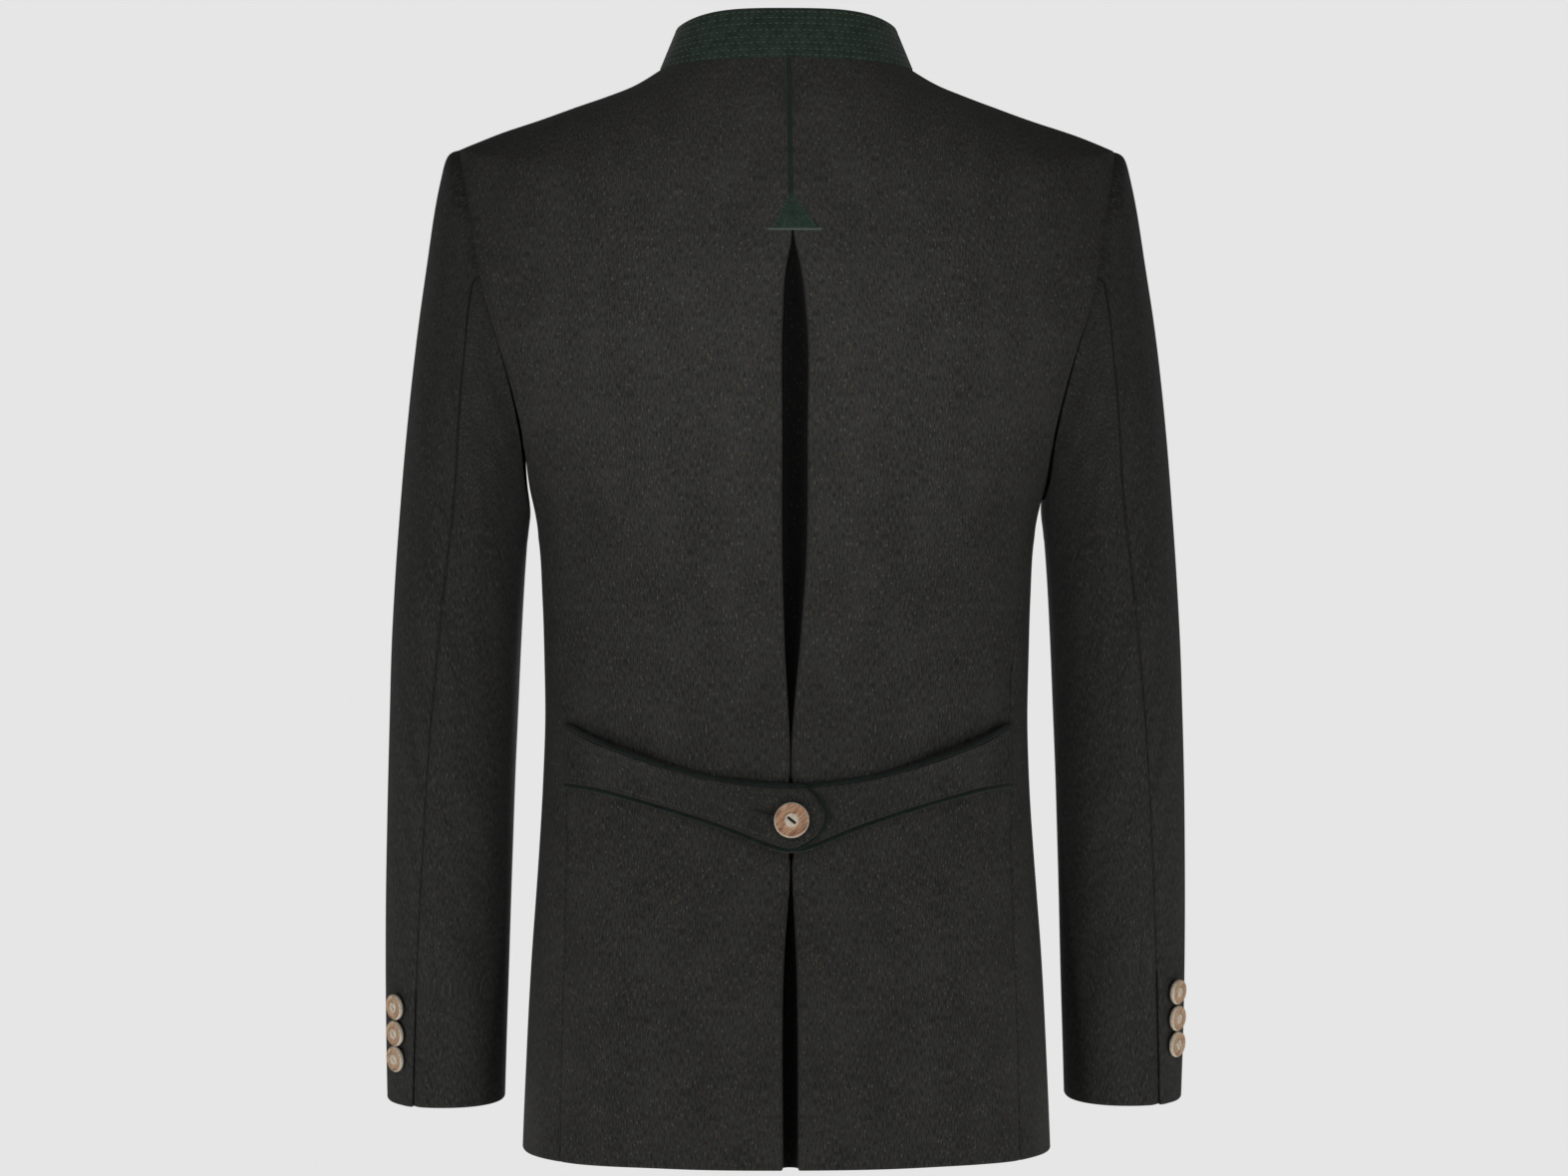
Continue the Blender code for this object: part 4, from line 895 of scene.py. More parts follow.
def melange_wool(name, tone, flecks=1.0):
    """Dark grey cashmere with fine pale, brown and olive hairs that run along the grain."""
    material, wire, shader = start_material(name, tone, 0.95, 0.05, 0.12)
    grain = wire.node("ShaderNodeUVMap", {}, uv_map="grain")
    streaks = grain.scaled((0.95 * MM, 5.2 * MM, 1)).noise(2)
    fine = grain.scaled((0.60 * MM, 2.4 * MM, 1), (2, 5, 0)).noise(2)
    clouds = grain.scaled((26 * MM, 40 * MM, 1), (7, 3, 0)).noise(1)
    mottle = (streaks * 0.55 + fine * 0.33 + clouds * 0.12).rise(0.37, 0.63)
    colour = mottle.tint(shade(tone, 0.58), shade(tone, 1.46))
    for size, shift, reach, share, strength, hue in MELANGE_FLECKS:
        marks = grain.scaled((*size, 1), (*shift, 0)).flecks(reach, share)
        colour = (marks * strength * flecks).tint(colour, hue)
    plug(shader, "Base Color", colour)
    roughen(shader, fine * 0.6 + streaks * 0.4, 0.20 * MM)
    return material


def felted_wool(name, tone):
    """Fine felted wool, alike all round, for the green trim."""
    material, wire, shader = start_material(name, tone, 0.95, 0.15, 0.15)
    place = wire.node("ShaderNodeTexCoord", {}, 3)
    fine = place.scaled((0.7 * MM, 0.7 * MM, 0.7 * MM)).noise(4)
    broad = place.scaled((6 * MM, 6 * MM, 6 * MM)).noise(2)
    mottle = (fine * 0.7 + broad * 0.3).rise(0.38, 0.62)
    plug(shader, "Base Color", mottle.tint(shade(tone, 0.60), shade(tone, 1.50)))
    roughen(shader, fine, 0.25 * MM)
    return material


def sewing_thread(name, tone):
    """Twisted thread, a little shinier than the cloth."""
    material, wire, shader = start_material(name, tone, 0.7, 0.2)
    place = wire.node("ShaderNodeTexCoord", {}, 3)
    twist = place.scaled((0.25 * MM, 0.25 * MM, 0.25 * MM)).noise(1)
    plug(shader, "Base Color", twist.rise(0.35, 0.65).tint(shade(tone, 0.7), shade(tone, 1.3)))
    return material


def polished_antler(name, pale):
    """Streaked antler, brown or partly pale, with a cream rim and a cream middle round the hole, whose dark
    is painted shade.
    """
    material, wire, shader = start_material(name, (0.30, 0.17, 0.09), 0.38, 0.0, 0.5)
    disc = wire.node("ShaderNodeUVMap", {}, uv_map="disc")
    grain = wire.node("ShaderNodeUVMap", {}, uv_map="grain")
    from_middle = disc.node("ShaderNodeVectorMath", {0: disc}, 1, operation="LENGTH")
    ragged = grain.scaled((1.6 * MM, 1.6 * MM, 1), (3, 8, 0)).noise(3)
    streaks = grain.scaled((0.7 * MM, 8.0 * MM, 1)).noise(4)
    bands = grain.scaled((2.6 * MM, 16.0 * MM, 1), (4, 1, 0)).noise(2)
    colour = bands.rise(0.36, 0.60).tint((0.370, 0.155, 0.085), (0.600, 0.330, 0.190))
    colour = (streaks.rise(0.50, 0.62) * 0.85).tint(colour, (0.82, 0.60, 0.38))
    colour = (streaks.rise(0.45, 0.36) * 0.80).tint(colour, (0.150, 0.060, 0.034))
    colour = (bands.rise(0.60, 0.74) * 0.70).tint(colour, (0.80, 0.66, 0.46))
    colour = (ragged.rise(0.25, 0.65) * pale).tint(colour, (0.68, 0.50, 0.32))
    middle = (from_middle + ragged * 0.09).rise(0.47, 0.40)
    colour = middle.tint(colour, ragged.rise(0.3, 0.7).tint((0.78, 0.65, 0.48), (0.92, 0.85, 0.72)))
    rim = (from_middle + ragged * 0.05).rise(0.945, 0.975)
    colour = rim.tint(colour, ragged.rise(0.3, 0.7).tint((0.72, 0.60, 0.45), (0.88, 0.80, 0.66)))
    # Painted shade: the hole mark turns the button's hole near black, less on pale buttons, and darkens the
    # thread shank under the button.
    hole = wire.node("ShaderNodeAttribute", {}, 2, attribute_name="hole")
    colour = (hole.rise(0.25, 0.75) * (1 - pale)).tint(colour, (0.012, 0.008, 0.006))
    plug(shader, "Base Color", colour)
    plug(shader, "Roughness", streaks * 0.25 + 0.26)
    roughen(shader, streaks * 0.5 + ragged * 0.5, 0.10 * MM)
    return material


def lengths_across(points):
    """How far each grid point lies along its row from the first column."""
    steps = np.linalg.norm(np.diff(points, axis=1), axis=2)
    return np.concatenate([np.zeros((len(points), 1)), np.cumsum(steps, axis=1)], axis=1)


def lengths_up(points):
    """How far each grid point lies along its column from the first row."""
    return lengths_across(points.transpose(1, 0, 2)).T


def spaced(length, step):
    """Shares of a length one step apart, and closer near both ends, where an edge rolls in."""
    count = max(2, int(round((length - 2 * EDGE_STEPS[-1]) / step)))
    middle = np.linspace(EDGE_STEPS[-1], length - EDGE_STEPS[-1], count + 1)
    return np.concatenate([EDGE_STEPS[:-1], middle, length - EDGE_STEPS[-2::-1]]) / length


def roll_in(distance, edge):
    """How far cloth dips at a distance from an edge that rolls in. The depth may vary along the edge."""
    width, depth = edge
    return depth * np.clip(1 - distance / width, 0, 1) ** 2


def tucked_under(points):
    """A grid whose last column carries on under the neighbour that it is sewn to."""
    onward = unit(points[:, -1] - points[:, -4])[:, None]
    steps = np.array((0.5, 1.0))[:, None] * SEAM_TUCK
    return np.concatenate([points, points[:, -1:] + onward * steps], axis=1)


def tuck_edge(seam_depth):
    """The roll of a tucked edge that dips by the given depth at its seam line."""
    return TUCK_ROLL, seam_depth / (1 - SEAM_TUCK / TUCK_ROLL) ** 2


def head_fill(turns):
    """How far the shoulder is filled out at an armhole turn: most at the shoulder point."""
    return HEAD_FILL * ((1 + np.cos(np.radians(turns))) / 2) ** 3


def crease_lift(a, b, creases):
    """Height of soft folds at places a, b. A crease gives its two ends, half width and height."""
    total = np.zeros_like(a)
    for a0, b0, a1, b1, width, height in creases:
        run_a, run_b = a1 - a0, b1 - b0
        length = math.hypot(run_a, run_b)
        along = ((a - a0) * run_a + (b - b0) * run_b) / length ** 2
        across = ((a - a0) * run_b - (b - b0) * run_a) / length
        ends = ramp(along, -0.25, 0.3) * (1 - ramp(along, 0.7, 1.25))
        total += height * ends * np.exp(-(across / width) ** 2)
    return total


def slow_wave(a, b, seed, height=0.35 * MM):
    """The slight unevenness of a hanging cloth, as a sum of long waves."""
    draw = np.random.default_rng(seed)
    total = np.zeros_like(a)
    for _ in range(7):
        length = draw.uniform(0.05, 0.14)
        heading = draw.uniform(-0.7, 0.7)
        phase = draw.uniform(0, 2 * math.pi)
        total += np.sin(2 * math.pi * (a * math.cos(heading) + b * math.sin(heading)) / length + phase)
    return total * height / 3


def grid_normals(points, outward):
    """The side that each grid point faces, evened out with its neighbours."""
    facing = unit(np.cross(np.gradient(points, axis=1), np.gradient(points, axis=0)))
    framed = np.pad(facing, ((1, 1), (1, 1), (0, 0)), mode="edge")
    around = framed[:-2, 1:-1] + framed[2:, 1:-1] + framed[1:-1, :-2] + framed[1:-1, 2:]
    return unit(2 * facing + around) * outward


def body_tuck(rows):
    """The tucked edge of a back or front: deep at the side seam, shallow at the armpit and the head."""
    depth = mix(SIDE_TUCK_DIP, HEAD_DIP, ramp(rows, 1.0, 1.5))
    depth = depth * (1 - 0.7 * np.exp(-((rows - 1.0) / 0.05) ** 2))
    return tuck_edge(depth[:, None])


def shoulder_fill(rows, points):
    """The lift of a back or front near the shoulder point."""
    across = lengths_across(points)
    from_edge = across[:, -1:] - across
    turns = mix(JUNCTION_TURN, 360, np.clip(rows - 1, 0, 1))
    along = head_fill(turns) * (1 - ramp(rows, 2.0, 2.4))
    return along[:, None] * (1 - ramp(from_edge, 0, SHOULDER_FILL_REACH)) * (rows > 1)[:, None]


def wall_mesh(name, outer, inner, outward, keep, grain):
    """A closed wall of cloth between two grids, with its grain as a UV map in metres."""
    rows, columns = outer.shape[:2]
    number = np.arange(rows * columns).reshape(rows, columns)
    total = rows * columns
    corner = [number[:-1, :-1], number[:-1, 1:], number[1:, 1:], number[1:, :-1]]
    faces = [np.stack([c[keep] for c in corner], axis=1)]
    faces.append(faces[0][:, ::-1] + total)
    framed = np.pad(keep, 1)
    beyond = [framed[:-2, 1:-1], framed[1:-1, 2:], framed[2:, 1:-1], framed[1:-1, :-2]]
    for k in range(4):
        edge = keep & ~beyond[k]
        start, end = corner[k][edge], corner[(k + 1) % 4][edge]
        faces.append(np.stack([end, start, start + total, end + total], axis=1))
    faces = np.concatenate(faces)
    if outward < 0:
        faces = faces[:, ::-1]
    used, index = np.unique(faces, return_inverse=True)
    points = np.concatenate([outer.reshape(-1, 3), inner.reshape(-1, 3)])[used]
    mesh = bpy.data.meshes.new(name)
    mesh.from_pydata(points.tolist(), [], index.reshape(faces.shape).tolist())
    add_map(mesh, "grain", np.concatenate([grain.reshape(-1, 2)] * 2)[used])
    mesh.shade_smooth()
    return mesh


def add_map(mesh, name, places):
    """A UV map from one place for each point."""
    corner_points = np.empty(len(mesh.loops), np.int32)
    mesh.loops.foreach_get("vertex_index", corner_points)
    mesh.uv_layers.new(name=name).data.foreach_set("uv", np.asarray(places, float)[corner_points].ravel())


def add_piece(name, mesh, material, node=None):
    """A finished piece that rides on the one body and may stand for a node of the frame."""
    piece = bpy.data.objects.new(name, mesh)
    bpy.context.scene.collection.objects.link(piece)
    mesh.materials.clear()
    mesh.materials.append(material)
    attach(piece, "root")
    if node is not None:
        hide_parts(node)
    return piece


def make_cloth(node, points, outward, thickness, material, edges, lift=0.0, keep=None):
    """A cloth piece on a grid of points. Edges say how its first and last columns and rows roll in."""
    if keep is None:
        keep = np.ones((points.shape[0] - 1, points.shape[1] - 1), bool)
    across, up = lengths_across(points), lengths_up(points)
    dip = roll_in(across, edges[0]) + roll_in(across[:, -1:] - across, edges[1])
    dip = dip + roll_in(up, edges[2]) + roll_in(up[-1:] - up, edges[3])
    outer = points + grid_normals(points, outward) * (lift - dip)[..., None]
    inner = outer - grid_normals(outer, outward) * thickness
    mesh = wall_mesh(node + "_cloth", outer, inner, outward, keep, np.stack([across, up], axis=2))
    piece = add_piece(node + "_cloth", mesh, material, node)
    cell_width = np.linalg.norm(np.diff(outer, axis=1), axis=2)[:-1] * keep
    cell_length = np.linalg.norm(np.diff(outer, axis=0), axis=2)[:, :-1] * keep
    cells = np.cross(outer[1:, 1:] - outer[:-1, :-1], outer[1:, :-1] - outer[:-1, 1:])
    area = float(np.sum(np.linalg.norm(cells, axis=2) * keep) / 2)
    width = round(float(cell_width.sum(axis=1).max()), 3)
    length = round(float(cell_length.sum(axis=0).max()), 3)
    area = round(min(area, width * length), 5)
    return outer


def body_rows():
    """Row positions from the hem to the neck, closer where an edge rolls in."""
    below = spaced(JUNCTION[2] - HEM_Z, ROW_STEP)
    beside = np.linspace(1, 2, int(ARMHOLE_LENGTH / ROW_STEP))
    shoulder = 2 + spaced(SHOULDER_LENGTH, ROW_STEP)
    return np.concatenate([below[:1 - len(EDGE_STEPS)], beside[:-1], 2 + np.linspace(0, 1, 34)[:-1],
                           shoulder[-len(EDGE_STEPS):]])


def back_grid(side, rows, columns):
    """The outside of a back half from the pleat's fold to the side, and its normals."""
    points = np.array([back_row(side, v, columns) for v in rows])
    return points, grid_normals(points, side)


def behind_pleat(points, normals, columns, reach, depth):
    """Points under a back half, at distances from its fold and at a depth."""
    rows = []
    for line, facing in zip(points, normals):
        share = reach / np.sum(np.linalg.norm(np.diff(line, axis=0), axis=1))
        here = np.stack([np.interp(share, columns, line[:, k]) for k in range(3)], axis=1)
        turned = np.stack([np.interp(share, columns, facing[:, k]) for k in range(3)], axis=1)
        rows.append(here - depth * turned)
    return np.array(rows)


def under_belt(points):
    """1 where the half belt lies on the back, and 0 clear of it."""
    own, z = np.abs(points[..., 0]), points[..., 2]
    lower, upper = belt_lower(own), belt_upper(own)
    beside = ramp(z, lower - UNDER_BELT_FADE, lower) * (1 - ramp(z, upper, upper + UNDER_BELT_FADE))
    return beside * (points[..., 1] < 0)


def belt_gape(side, points):
    """How far the back sinks beside the half belt: along both edges, and most above the ends."""
    own, z = np.abs(points[..., 0]), points[..., 2]
    above = np.exp(-((z - belt_upper(own) - GROOVE_ABOVE[0]) / GROOVE_ABOVE[1]) ** 2)
    below = np.exp(-((belt_lower(own) - z - GROOVE_BELOW[0]) / GROOVE_BELOW[1]) ** 2)
    before_seam = 1 - ramp(own, *GAPE_FALL)
    ends = ramp(own, *GAPE_RISE) * before_seam
    groove = BELT_GROOVE * before_seam
    return (above * (groove + BELT_GAPE[side] * ends) + below * groove) * (points[..., 1] < 0)


def make_back(side):
    """A back half with its fold at the centre and the strip that returns behind it."""
    rows = body_rows()
    columns = spaced(BACK_BREADTH, COLUMN_STEP)
    body, normals = back_grid(side, rows, columns)
    strip = behind_pleat(body, normals, columns, np.linspace(PLEAT_RETURN, 2 * MM, 8), 2 * PLEAT_FOLD_RADIUS)
    away = unit(body[:, 0] - body[:, 1])
    centre = body[:, 0] - PLEAT_FOLD_RADIUS * normals[:, 0]
    spokes = [math.cos(turn) * away + math.sin(turn) * normals[:, 0] for turn in PLEAT_FOLD_TURNS]
    fold = np.stack([centre + PLEAT_FOLD_RADIUS * spoke for spoke in spokes], axis=1)
    points = tucked_under(np.concatenate([strip, fold, body], axis=1))
    fold_columns = strip.shape[1] + fold.shape[1]
    keep = np.ones((len(rows) - 1, points.shape[1] - 1), bool)
    keep[rows[1:] > PLEAT_TOP_V, :fold_columns] = False
    lift = crease_lift(points[..., 0], points[..., 2], BACK_CREASES)
    lift = lift + slow_wave(points[..., 0], points[..., 2], 11 + side)
    lift = lift * ramp(np.arange(points.shape[1]), fold_columns, fold_columns + 16)
    lift = lift * (1 - 0.8 * under_belt(points)) - belt_gape(side, points) + shoulder_fill(rows, points)
    make_cloth("back_" + side_name(side), points, side, CLOTH, body_wool,
               (PLAIN, body_tuck(rows), FOLDED_EDGE, PLAIN), lift, keep)


def make_underlay():
    """The strip behind the pleat, which sinks further in where the pleat stands open."""
    rows = body_rows()
    rows = rows[rows <= PLEAT_TOP_V]
    columns = spaced(BACK_BREADTH, COLUMN_STEP)
    flaps = []
    for side in (-1, 1):
        body, normals = back_grid(side, rows, columns)
        flaps.append(behind_pleat(body, normals, columns, np.linspace(UNDERLAY_LAP, 0, 12),
                                  2 * PLEAT_FOLD_RADIUS + LAYER_GAP))
    left, right = flaps[0], flaps[1][:, ::-1]
    width = right[:, 0, 0] - left[:, -1, 0]
    sink = PLEAT_DEPTH * ramp(width, *PLEAT_OPENING)
    gap = [mix(left[:, -1], right[:, 0], t) + (sink * math.sin(math.pi * t) ** 0.6)[:, None] * (0, 1, 0)
           for t in np.linspace(0, 1, 12)[1:-1]]
    points = np.concatenate([left, np.stack(gap, axis=1), right], axis=1)
    # Its cloth is painted near black as the shade of the opening.
    make_cloth("pleat_underlay", points, 1, CLOTH, pleat_shade_wool,
               (PLAIN, PLAIN, FOLDED_EDGE, PLAIN))


def make_front(side):
    """A front. The right one, which lies beneath, is trimmed at the top."""
    rows = body_rows()
    columns = spaced(FRONT_BREADTH, FRONT_COLUMN_STEP)
    surface = front_surface(side)
    points = np.array([surface(v, columns) for v in rows])
    if side > 0:
        near_top = np.linspace(0, 1, 8) ** 2
        trim = (1 - ramp(columns, LAP_SHARE, 1.6 * LAP_SHARE))[None, :, None]
        down = unit(points[-9] - points[-8])[None]
        points[-8:] += UNDER_LAP_TRIM * near_top[:, None, None] * trim * down
    points = tucked_under(points)
    lift = crease_lift(points[..., 0], points[..., 2], FRONT_CREASES)
    lift = lift + slow_wave(points[..., 0], points[..., 2], 21 + side)
    lift = lift * ramp(np.abs(points[..., 0]), 0.03, 0.06) + shoulder_fill(rows, points)
    make_cloth("front_" + side_name(side), points, -side, CLOTH, body_wool,
               (FOLDED_EDGE, body_tuck(rows), FOLDED_EDGE, PLAIN), lift)


def make_side(side):
    """A side panel, whose top is tucked under the sleeve."""
    surface = side_surface(side)
    rows = spaced(JUNCTION[2] - HEM_Z, ROW_STEP)
    columns = spaced(SIDE_BREADTH, COLUMN_STEP)
    points = np.array([surface(v, columns) for v in rows])
    points = tucked_under(points.transpose(1, 0, 2)).transpose(1, 0, 2)
    lift = slow_wave(points[..., 1], points[..., 2], 31 + side)
    name = side_name(side)
    make_cloth("side_" + name, points, side, CLOTH, body_wool,
               (DEEP_SEAM, SEAM, FOLDED_EDGE, tuck_edge(SIDE_TOP_DIP)), lift)


def open_vent(z, side):
    """1 where a sleeve's vent is open, and 0 above it."""
    return 1 - ramp(z, VENT_TOP_Z[side] - VENT_FADE, VENT_TOP_Z[side])


def make_sleeve(side, part):
    """One sleeve piece. Over the cuff the upper piece laps over the under one at the hind-arm seam."""
    surface = sleeve_surface(side, part)
    stations = spaced(SLEEVE_LENGTH, ROW_STEP) * (len(SLEEVE_RINGS) - 1)
    columns = spaced(SLEEVE_BREADTH[part], COLUMN_STEP)
    points = np.array([surface(j, columns) for j in stations])
    if part == "under":
        longer = 1 + VENT_LAP * open_vent(points[:, -1, 2], side) / lengths_across(points)[:, -1]
        points = np.array([surface(j, columns * share) for j, share in zip(stations, longer)])
    hind, fore = [sleeve_ring_value[k](stations)[:, None] for k in (7, 8)]
    turns = mix(hind, fore, columns) if part == "upper" else mix(fore - 360, hind, columns)
    around = np.radians(turns) * SLEEVE_RADIUS
    if part == "under":
        around = np.where(turns < -200, around + 2 * math.pi * SLEEVE_RADIUS, around)
    height = points[..., 2]
    creases = [(math.radians(a0) * SLEEVE_RADIUS, b0, math.radians(a1) * SLEEVE_RADIUS, b1, width, rise)
               for crease_side, a0, b0, a1, b1, width, rise in SLEEVE_CREASES if crease_side == side]
    lift = crease_lift(around, height, creases) + slow_wave(points[..., 1], height, 41 + side)
    lift = lift * ramp(stations, 0, 1.5)[:, None]
    lift = lift + head_fill(turns) * (1 - ramp(stations, 1.0, 5.0))[:, None]
    folded = 180 - np.abs(180 - np.abs(turns))
    under_arm = ramp(folded, 96, 128)
    lift = lift - ARMPIT_TROUGH * under_arm * np.exp(-(lengths_up(points) / ARMPIT_TROUGH_WIDTH) ** 2)
    head_roll = (HEAD_ROLL_WIDTH, mix(HEAD_DIP, UNDER_ARM_DIP, ramp(folded, 60, 110)))
    across = lengths_across(points)
    from_hind = across if part == "upper" else across[:, -1:] - across
    vent = open_vent(height, side)
    if part == "upper":
        stands = VENT_RISE * (1 - ramp(from_hind, 4 * MM, 12 * MM))
        lift = lift + vent * (stands + roll_in(from_hind, DEEP_SEAM) - roll_in(from_hind, FOLDED_EDGE))
    else:
        lift = lift - vent * VENT_DIP * (1 - ramp(from_hind, VENT_LAP, 2 * VENT_LAP))
    name = side_name(side)
    long_edges = (DEEP_SEAM, SEAM) if part == "upper" else (SEAM, DEEP_SEAM)
    make_cloth(f"{part}_sleeve_{name}", points, -side, CLOTH, sleeve_shaded_wool,
               (*long_edges, head_roll, FOLDED_EDGE), lift)


def make_collar():
    """The stand collar, quilted by rows of stitching that follow its upper edge."""
    sides = []
    for side in (-1, 1):
        front = front_surface(side)(3, np.linspace(LAP_SHARE, 1, 46))
        back = back_row(side, 3, np.linspace(0, 1, 40))
        back[0, 0] = 0.0
        sides.append(np.vstack([front, back[-2::-1]]))
    foot = np.vstack([sides[0], sides[1][-2::-1]])
    length = np.sum(np.linalg.norm(np.diff(foot, axis=0), axis=1))
    end_gap = COLLAR_END_GAP / length
    foot = resample(foot, mix(end_gap, 1 - end_gap, spaced(length, COLLAR_COLUMN_STEP)))
    top = collar_top(foot)
    along_top = np.concatenate([[0], np.cumsum(np.linalg.norm(np.diff(top, axis=0), axis=1))])
    from_end = np.minimum(along_top, along_top[-1] - along_top)
    short = np.maximum(0, COLLAR_CORNER - from_end)
    rounded = COLLAR_CORNER - np.sqrt(np.maximum(0, COLLAR_CORNER ** 2 - short ** 2))
    top = top - unit(top - foot) * rounded[:, None]
    tuck = np.array((-1.0, -0.5)) * COLLAR_TUCK / COLLAR_HEIGHT
    levels = np.concatenate([tuck, spaced(COLLAR_HEIGHT, COLLAR_ROW_STEP)])
    points = np.array([mix(foot, top, t) for t in levels])
    nearest = np.min(np.abs(levels[:, None] - COLLAR_STITCH_LEVELS), axis=1) * COLLAR_HEIGHT
    puff = COLLAR_PUFF * (1 - np.exp(-(nearest / COLLAR_PUFF_WIDTH) ** 2))
    lift = np.repeat(puff[:, None], points.shape[1], axis=1)
    edges = (FOLDED_EDGE, FOLDED_EDGE, TUCKED_EDGE, FOLDED_EDGE)
    outer = make_cloth("collar", points, 1, COLLAR_CLOTH, green_wool,
                       edges, lift)
    normals = grid_normals(outer, 1)
    routes = []
    starts = np.random.default_rng(17).uniform(0.0, 0.009, len(COLLAR_STITCH_LEVELS))
    for level, start in zip(COLLAR_STITCH_LEVELS, starts):
        k = int(np.argmin(np.abs(levels - level)))
        route = outer[k, 6:-6] + normals[k, 6:-6] * 0.12 * MM
        routes.append(resample(route, np.linspace(start, 1, len(route))))
    add_stitches("collar_stitches", routes, COLLAR_STITCH, green_thread, 3)


def stitch_tree():
    """Geometry nodes that lay one thread stitch after another along edges."""
    tree = bpy.data.node_groups.new("row of stitches", "GeometryNodeTree")
    sockets = (("Path", "NodeSocketGeometry"), ("Stitch", "NodeSocketFloat"), ("Gap", "NodeSocketFloat"),
               ("Thread", "NodeSocketFloat"), ("Seed", "NodeSocketInt"), ("Finish", "NodeSocketMaterial"))
    for name, kind in sockets:
        tree.interface.new_socket(name, in_out="INPUT", socket_type=kind)
    tree.interface.new_socket("Stitches", in_out="OUTPUT", socket_type="NodeSocketGeometry")
    given = tree.nodes.new("NodeGroupInput").outputs
    result = tree.nodes.new("NodeGroupOutput").inputs
    path = Wire(tree, given["Path"])
    stitch, gap, thread = [Wire(tree, given[name]) for name in ("Stitch", "Gap", "Thread")]
    line = path.node("GeometryNodeMeshToCurve", {"Mesh": path})
    spots = path.node("GeometryNodeResampleCurve", {"Curve": line, "Length": stitch + gap}, mode="LENGTH")
    uneven = path.node("FunctionNodeRandomValue", {2: 0.36, 3: 0.56, "Seed": Wire(tree, given["Seed"])}, 1,
                       data_type="FLOAT")
    size = path.node("ShaderNodeCombineXYZ", {0: stitch * uneven, 1: thread * 0.5, 2: thread * 0.5})
    tangent = path.node("GeometryNodeInputTangent", {})
    heading = path.node("FunctionNodeAlignRotationToVector", {"Vector": tangent}, axis="X")
    bead = path.node("GeometryNodeMeshUVSphere", {"Segments": 7, "Rings": 5, "Radius": 1.0})
    placed = path.node("GeometryNodeInstanceOnPoints",
                       {"Points": spots, "Instance": bead, "Rotation": heading, "Scale": size})
    real = path.node("GeometryNodeRealizeInstances", {"Geometry": placed})
    coated = path.node("GeometryNodeSetMaterial", {"Geometry": real, "Material": Wire(tree, given["Finish"])})
    tree.links.new(coated.socket, result[0])
    return tree


def add_stitches(name, routes, kind, thread, seed):
    """Rows of thread stitches along routes, each a list of points."""
    points, edges = [], []
    for route in routes:
        first = len(points)
        points.extend(tuple(p) for p in route)
        edges.extend((first + k, first + k + 1) for k in range(len(route) - 1))
    path = bpy.data.meshes.new(name + "_path")
    path.from_pydata(points, edges, [])
    guide = bpy.data.objects.new(name + "_path", path)
    bpy.context.scene.collection.objects.link(guide)
    rows = guide.modifiers.new("stitches", "NODES")
    rows.node_group = stitch_nodes
    values = dict(zip(("Stitch", "Gap", "Thread"), kind), Seed=seed, Finish=thread)
    for item in stitch_nodes.interface.items_tree:
        if item.name in values:
            rows[item.identifier] = values[item.name]
    graph = bpy.context.evaluated_depsgraph_get()
    mesh = bpy.data.meshes.new_from_object(guide.evaluated_get(graph))
    bpy.data.objects.remove(guide)
    mesh.shade_smooth()
    return add_piece(name, mesh, thread)


def closed_mesh(name, points, faces):
    """A smooth closed mesh whose faces point outwards."""
    mesh = bpy.data.meshes.new(name)
    mesh.from_pydata(np.asarray(points).tolist(), [], faces)
    work = bmesh.new()
    work.from_mesh(mesh)
    bmesh.ops.recalc_face_normals(work, faces=work.faces)
    work.to_mesh(mesh)
    work.free()
    mesh.shade_smooth()
    return mesh


def tube_faces(rings, sides):
    """The faces of a closed tube of rings, with one face over each end."""
    number = np.arange(rings * sides).reshape(rings, sides)
    turned = np.roll(number, -1, axis=1)
    faces = np.stack([number[:-1], turned[:-1], turned[1:], number[1:]], axis=2).reshape(-1, 4).tolist()
    return faces + [number[0].tolist(), number[-1].tolist()]


def cord_mesh(name, route, half_sizes, facing, groove=0.0, sides=14):
    """A cord along a route, with rounded ends. Its top looks along facing and may have a groove."""
    half_width, half_height = half_sizes
    tangent = unit(np.gradient(route, axis=0))
    across = unit(np.cross(facing, tangent))
    above = np.cross(tangent, across)
    angle = np.linspace(0, 2 * math.pi, sides, endpoint=False)
    wide = half_width * np.cos(angle)
    high = half_height * np.sin(angle) - groove * np.exp(-(np.cos(angle) / 0.3) ** 2) * (np.sin(angle) > 0)
    rings = []
    for at, way, leans in ((0, -1, (75, 50, 25)), (-1, 1, (25, 50, 75))):
        caps = []
        for lean in np.radians(leans):
            middle = route[at] + way * tangent[at] * half_height * math.sin(lean)
            caps.append(middle + math.cos(lean) * (wide[:, None] * across[at] + high[:, None] * above[at]))
        rings.append(caps)
    body = [route[k] + wide[:, None] * across[k] + high[:, None] * above[k] for k in range(len(route))]
    rings = rings[0] + body + rings[1]
    return closed_mesh(name, np.concatenate(rings), tube_faces(len(rings), sides))


def make_centre_piping():
    """The folded green strip down the centre back."""
    heights = np.linspace(PIPING_TOP_Z, ARROW_APEX[1] - 3 * MM, 60)
    route = np.array([upper_back_place(0.0, z, 0.9 * MM)[0] for z in heights])
    facing = np.array([upper_back_place(0.0, z)[1] for z in heights])
    mesh = cord_mesh("centre_piping_strip", route, CENTRE_STRIP, facing, CENTRE_STRIP_GROOVE, 24)
    add_piece("centre_piping_strip", mesh, centre_wool, "centre_piping")


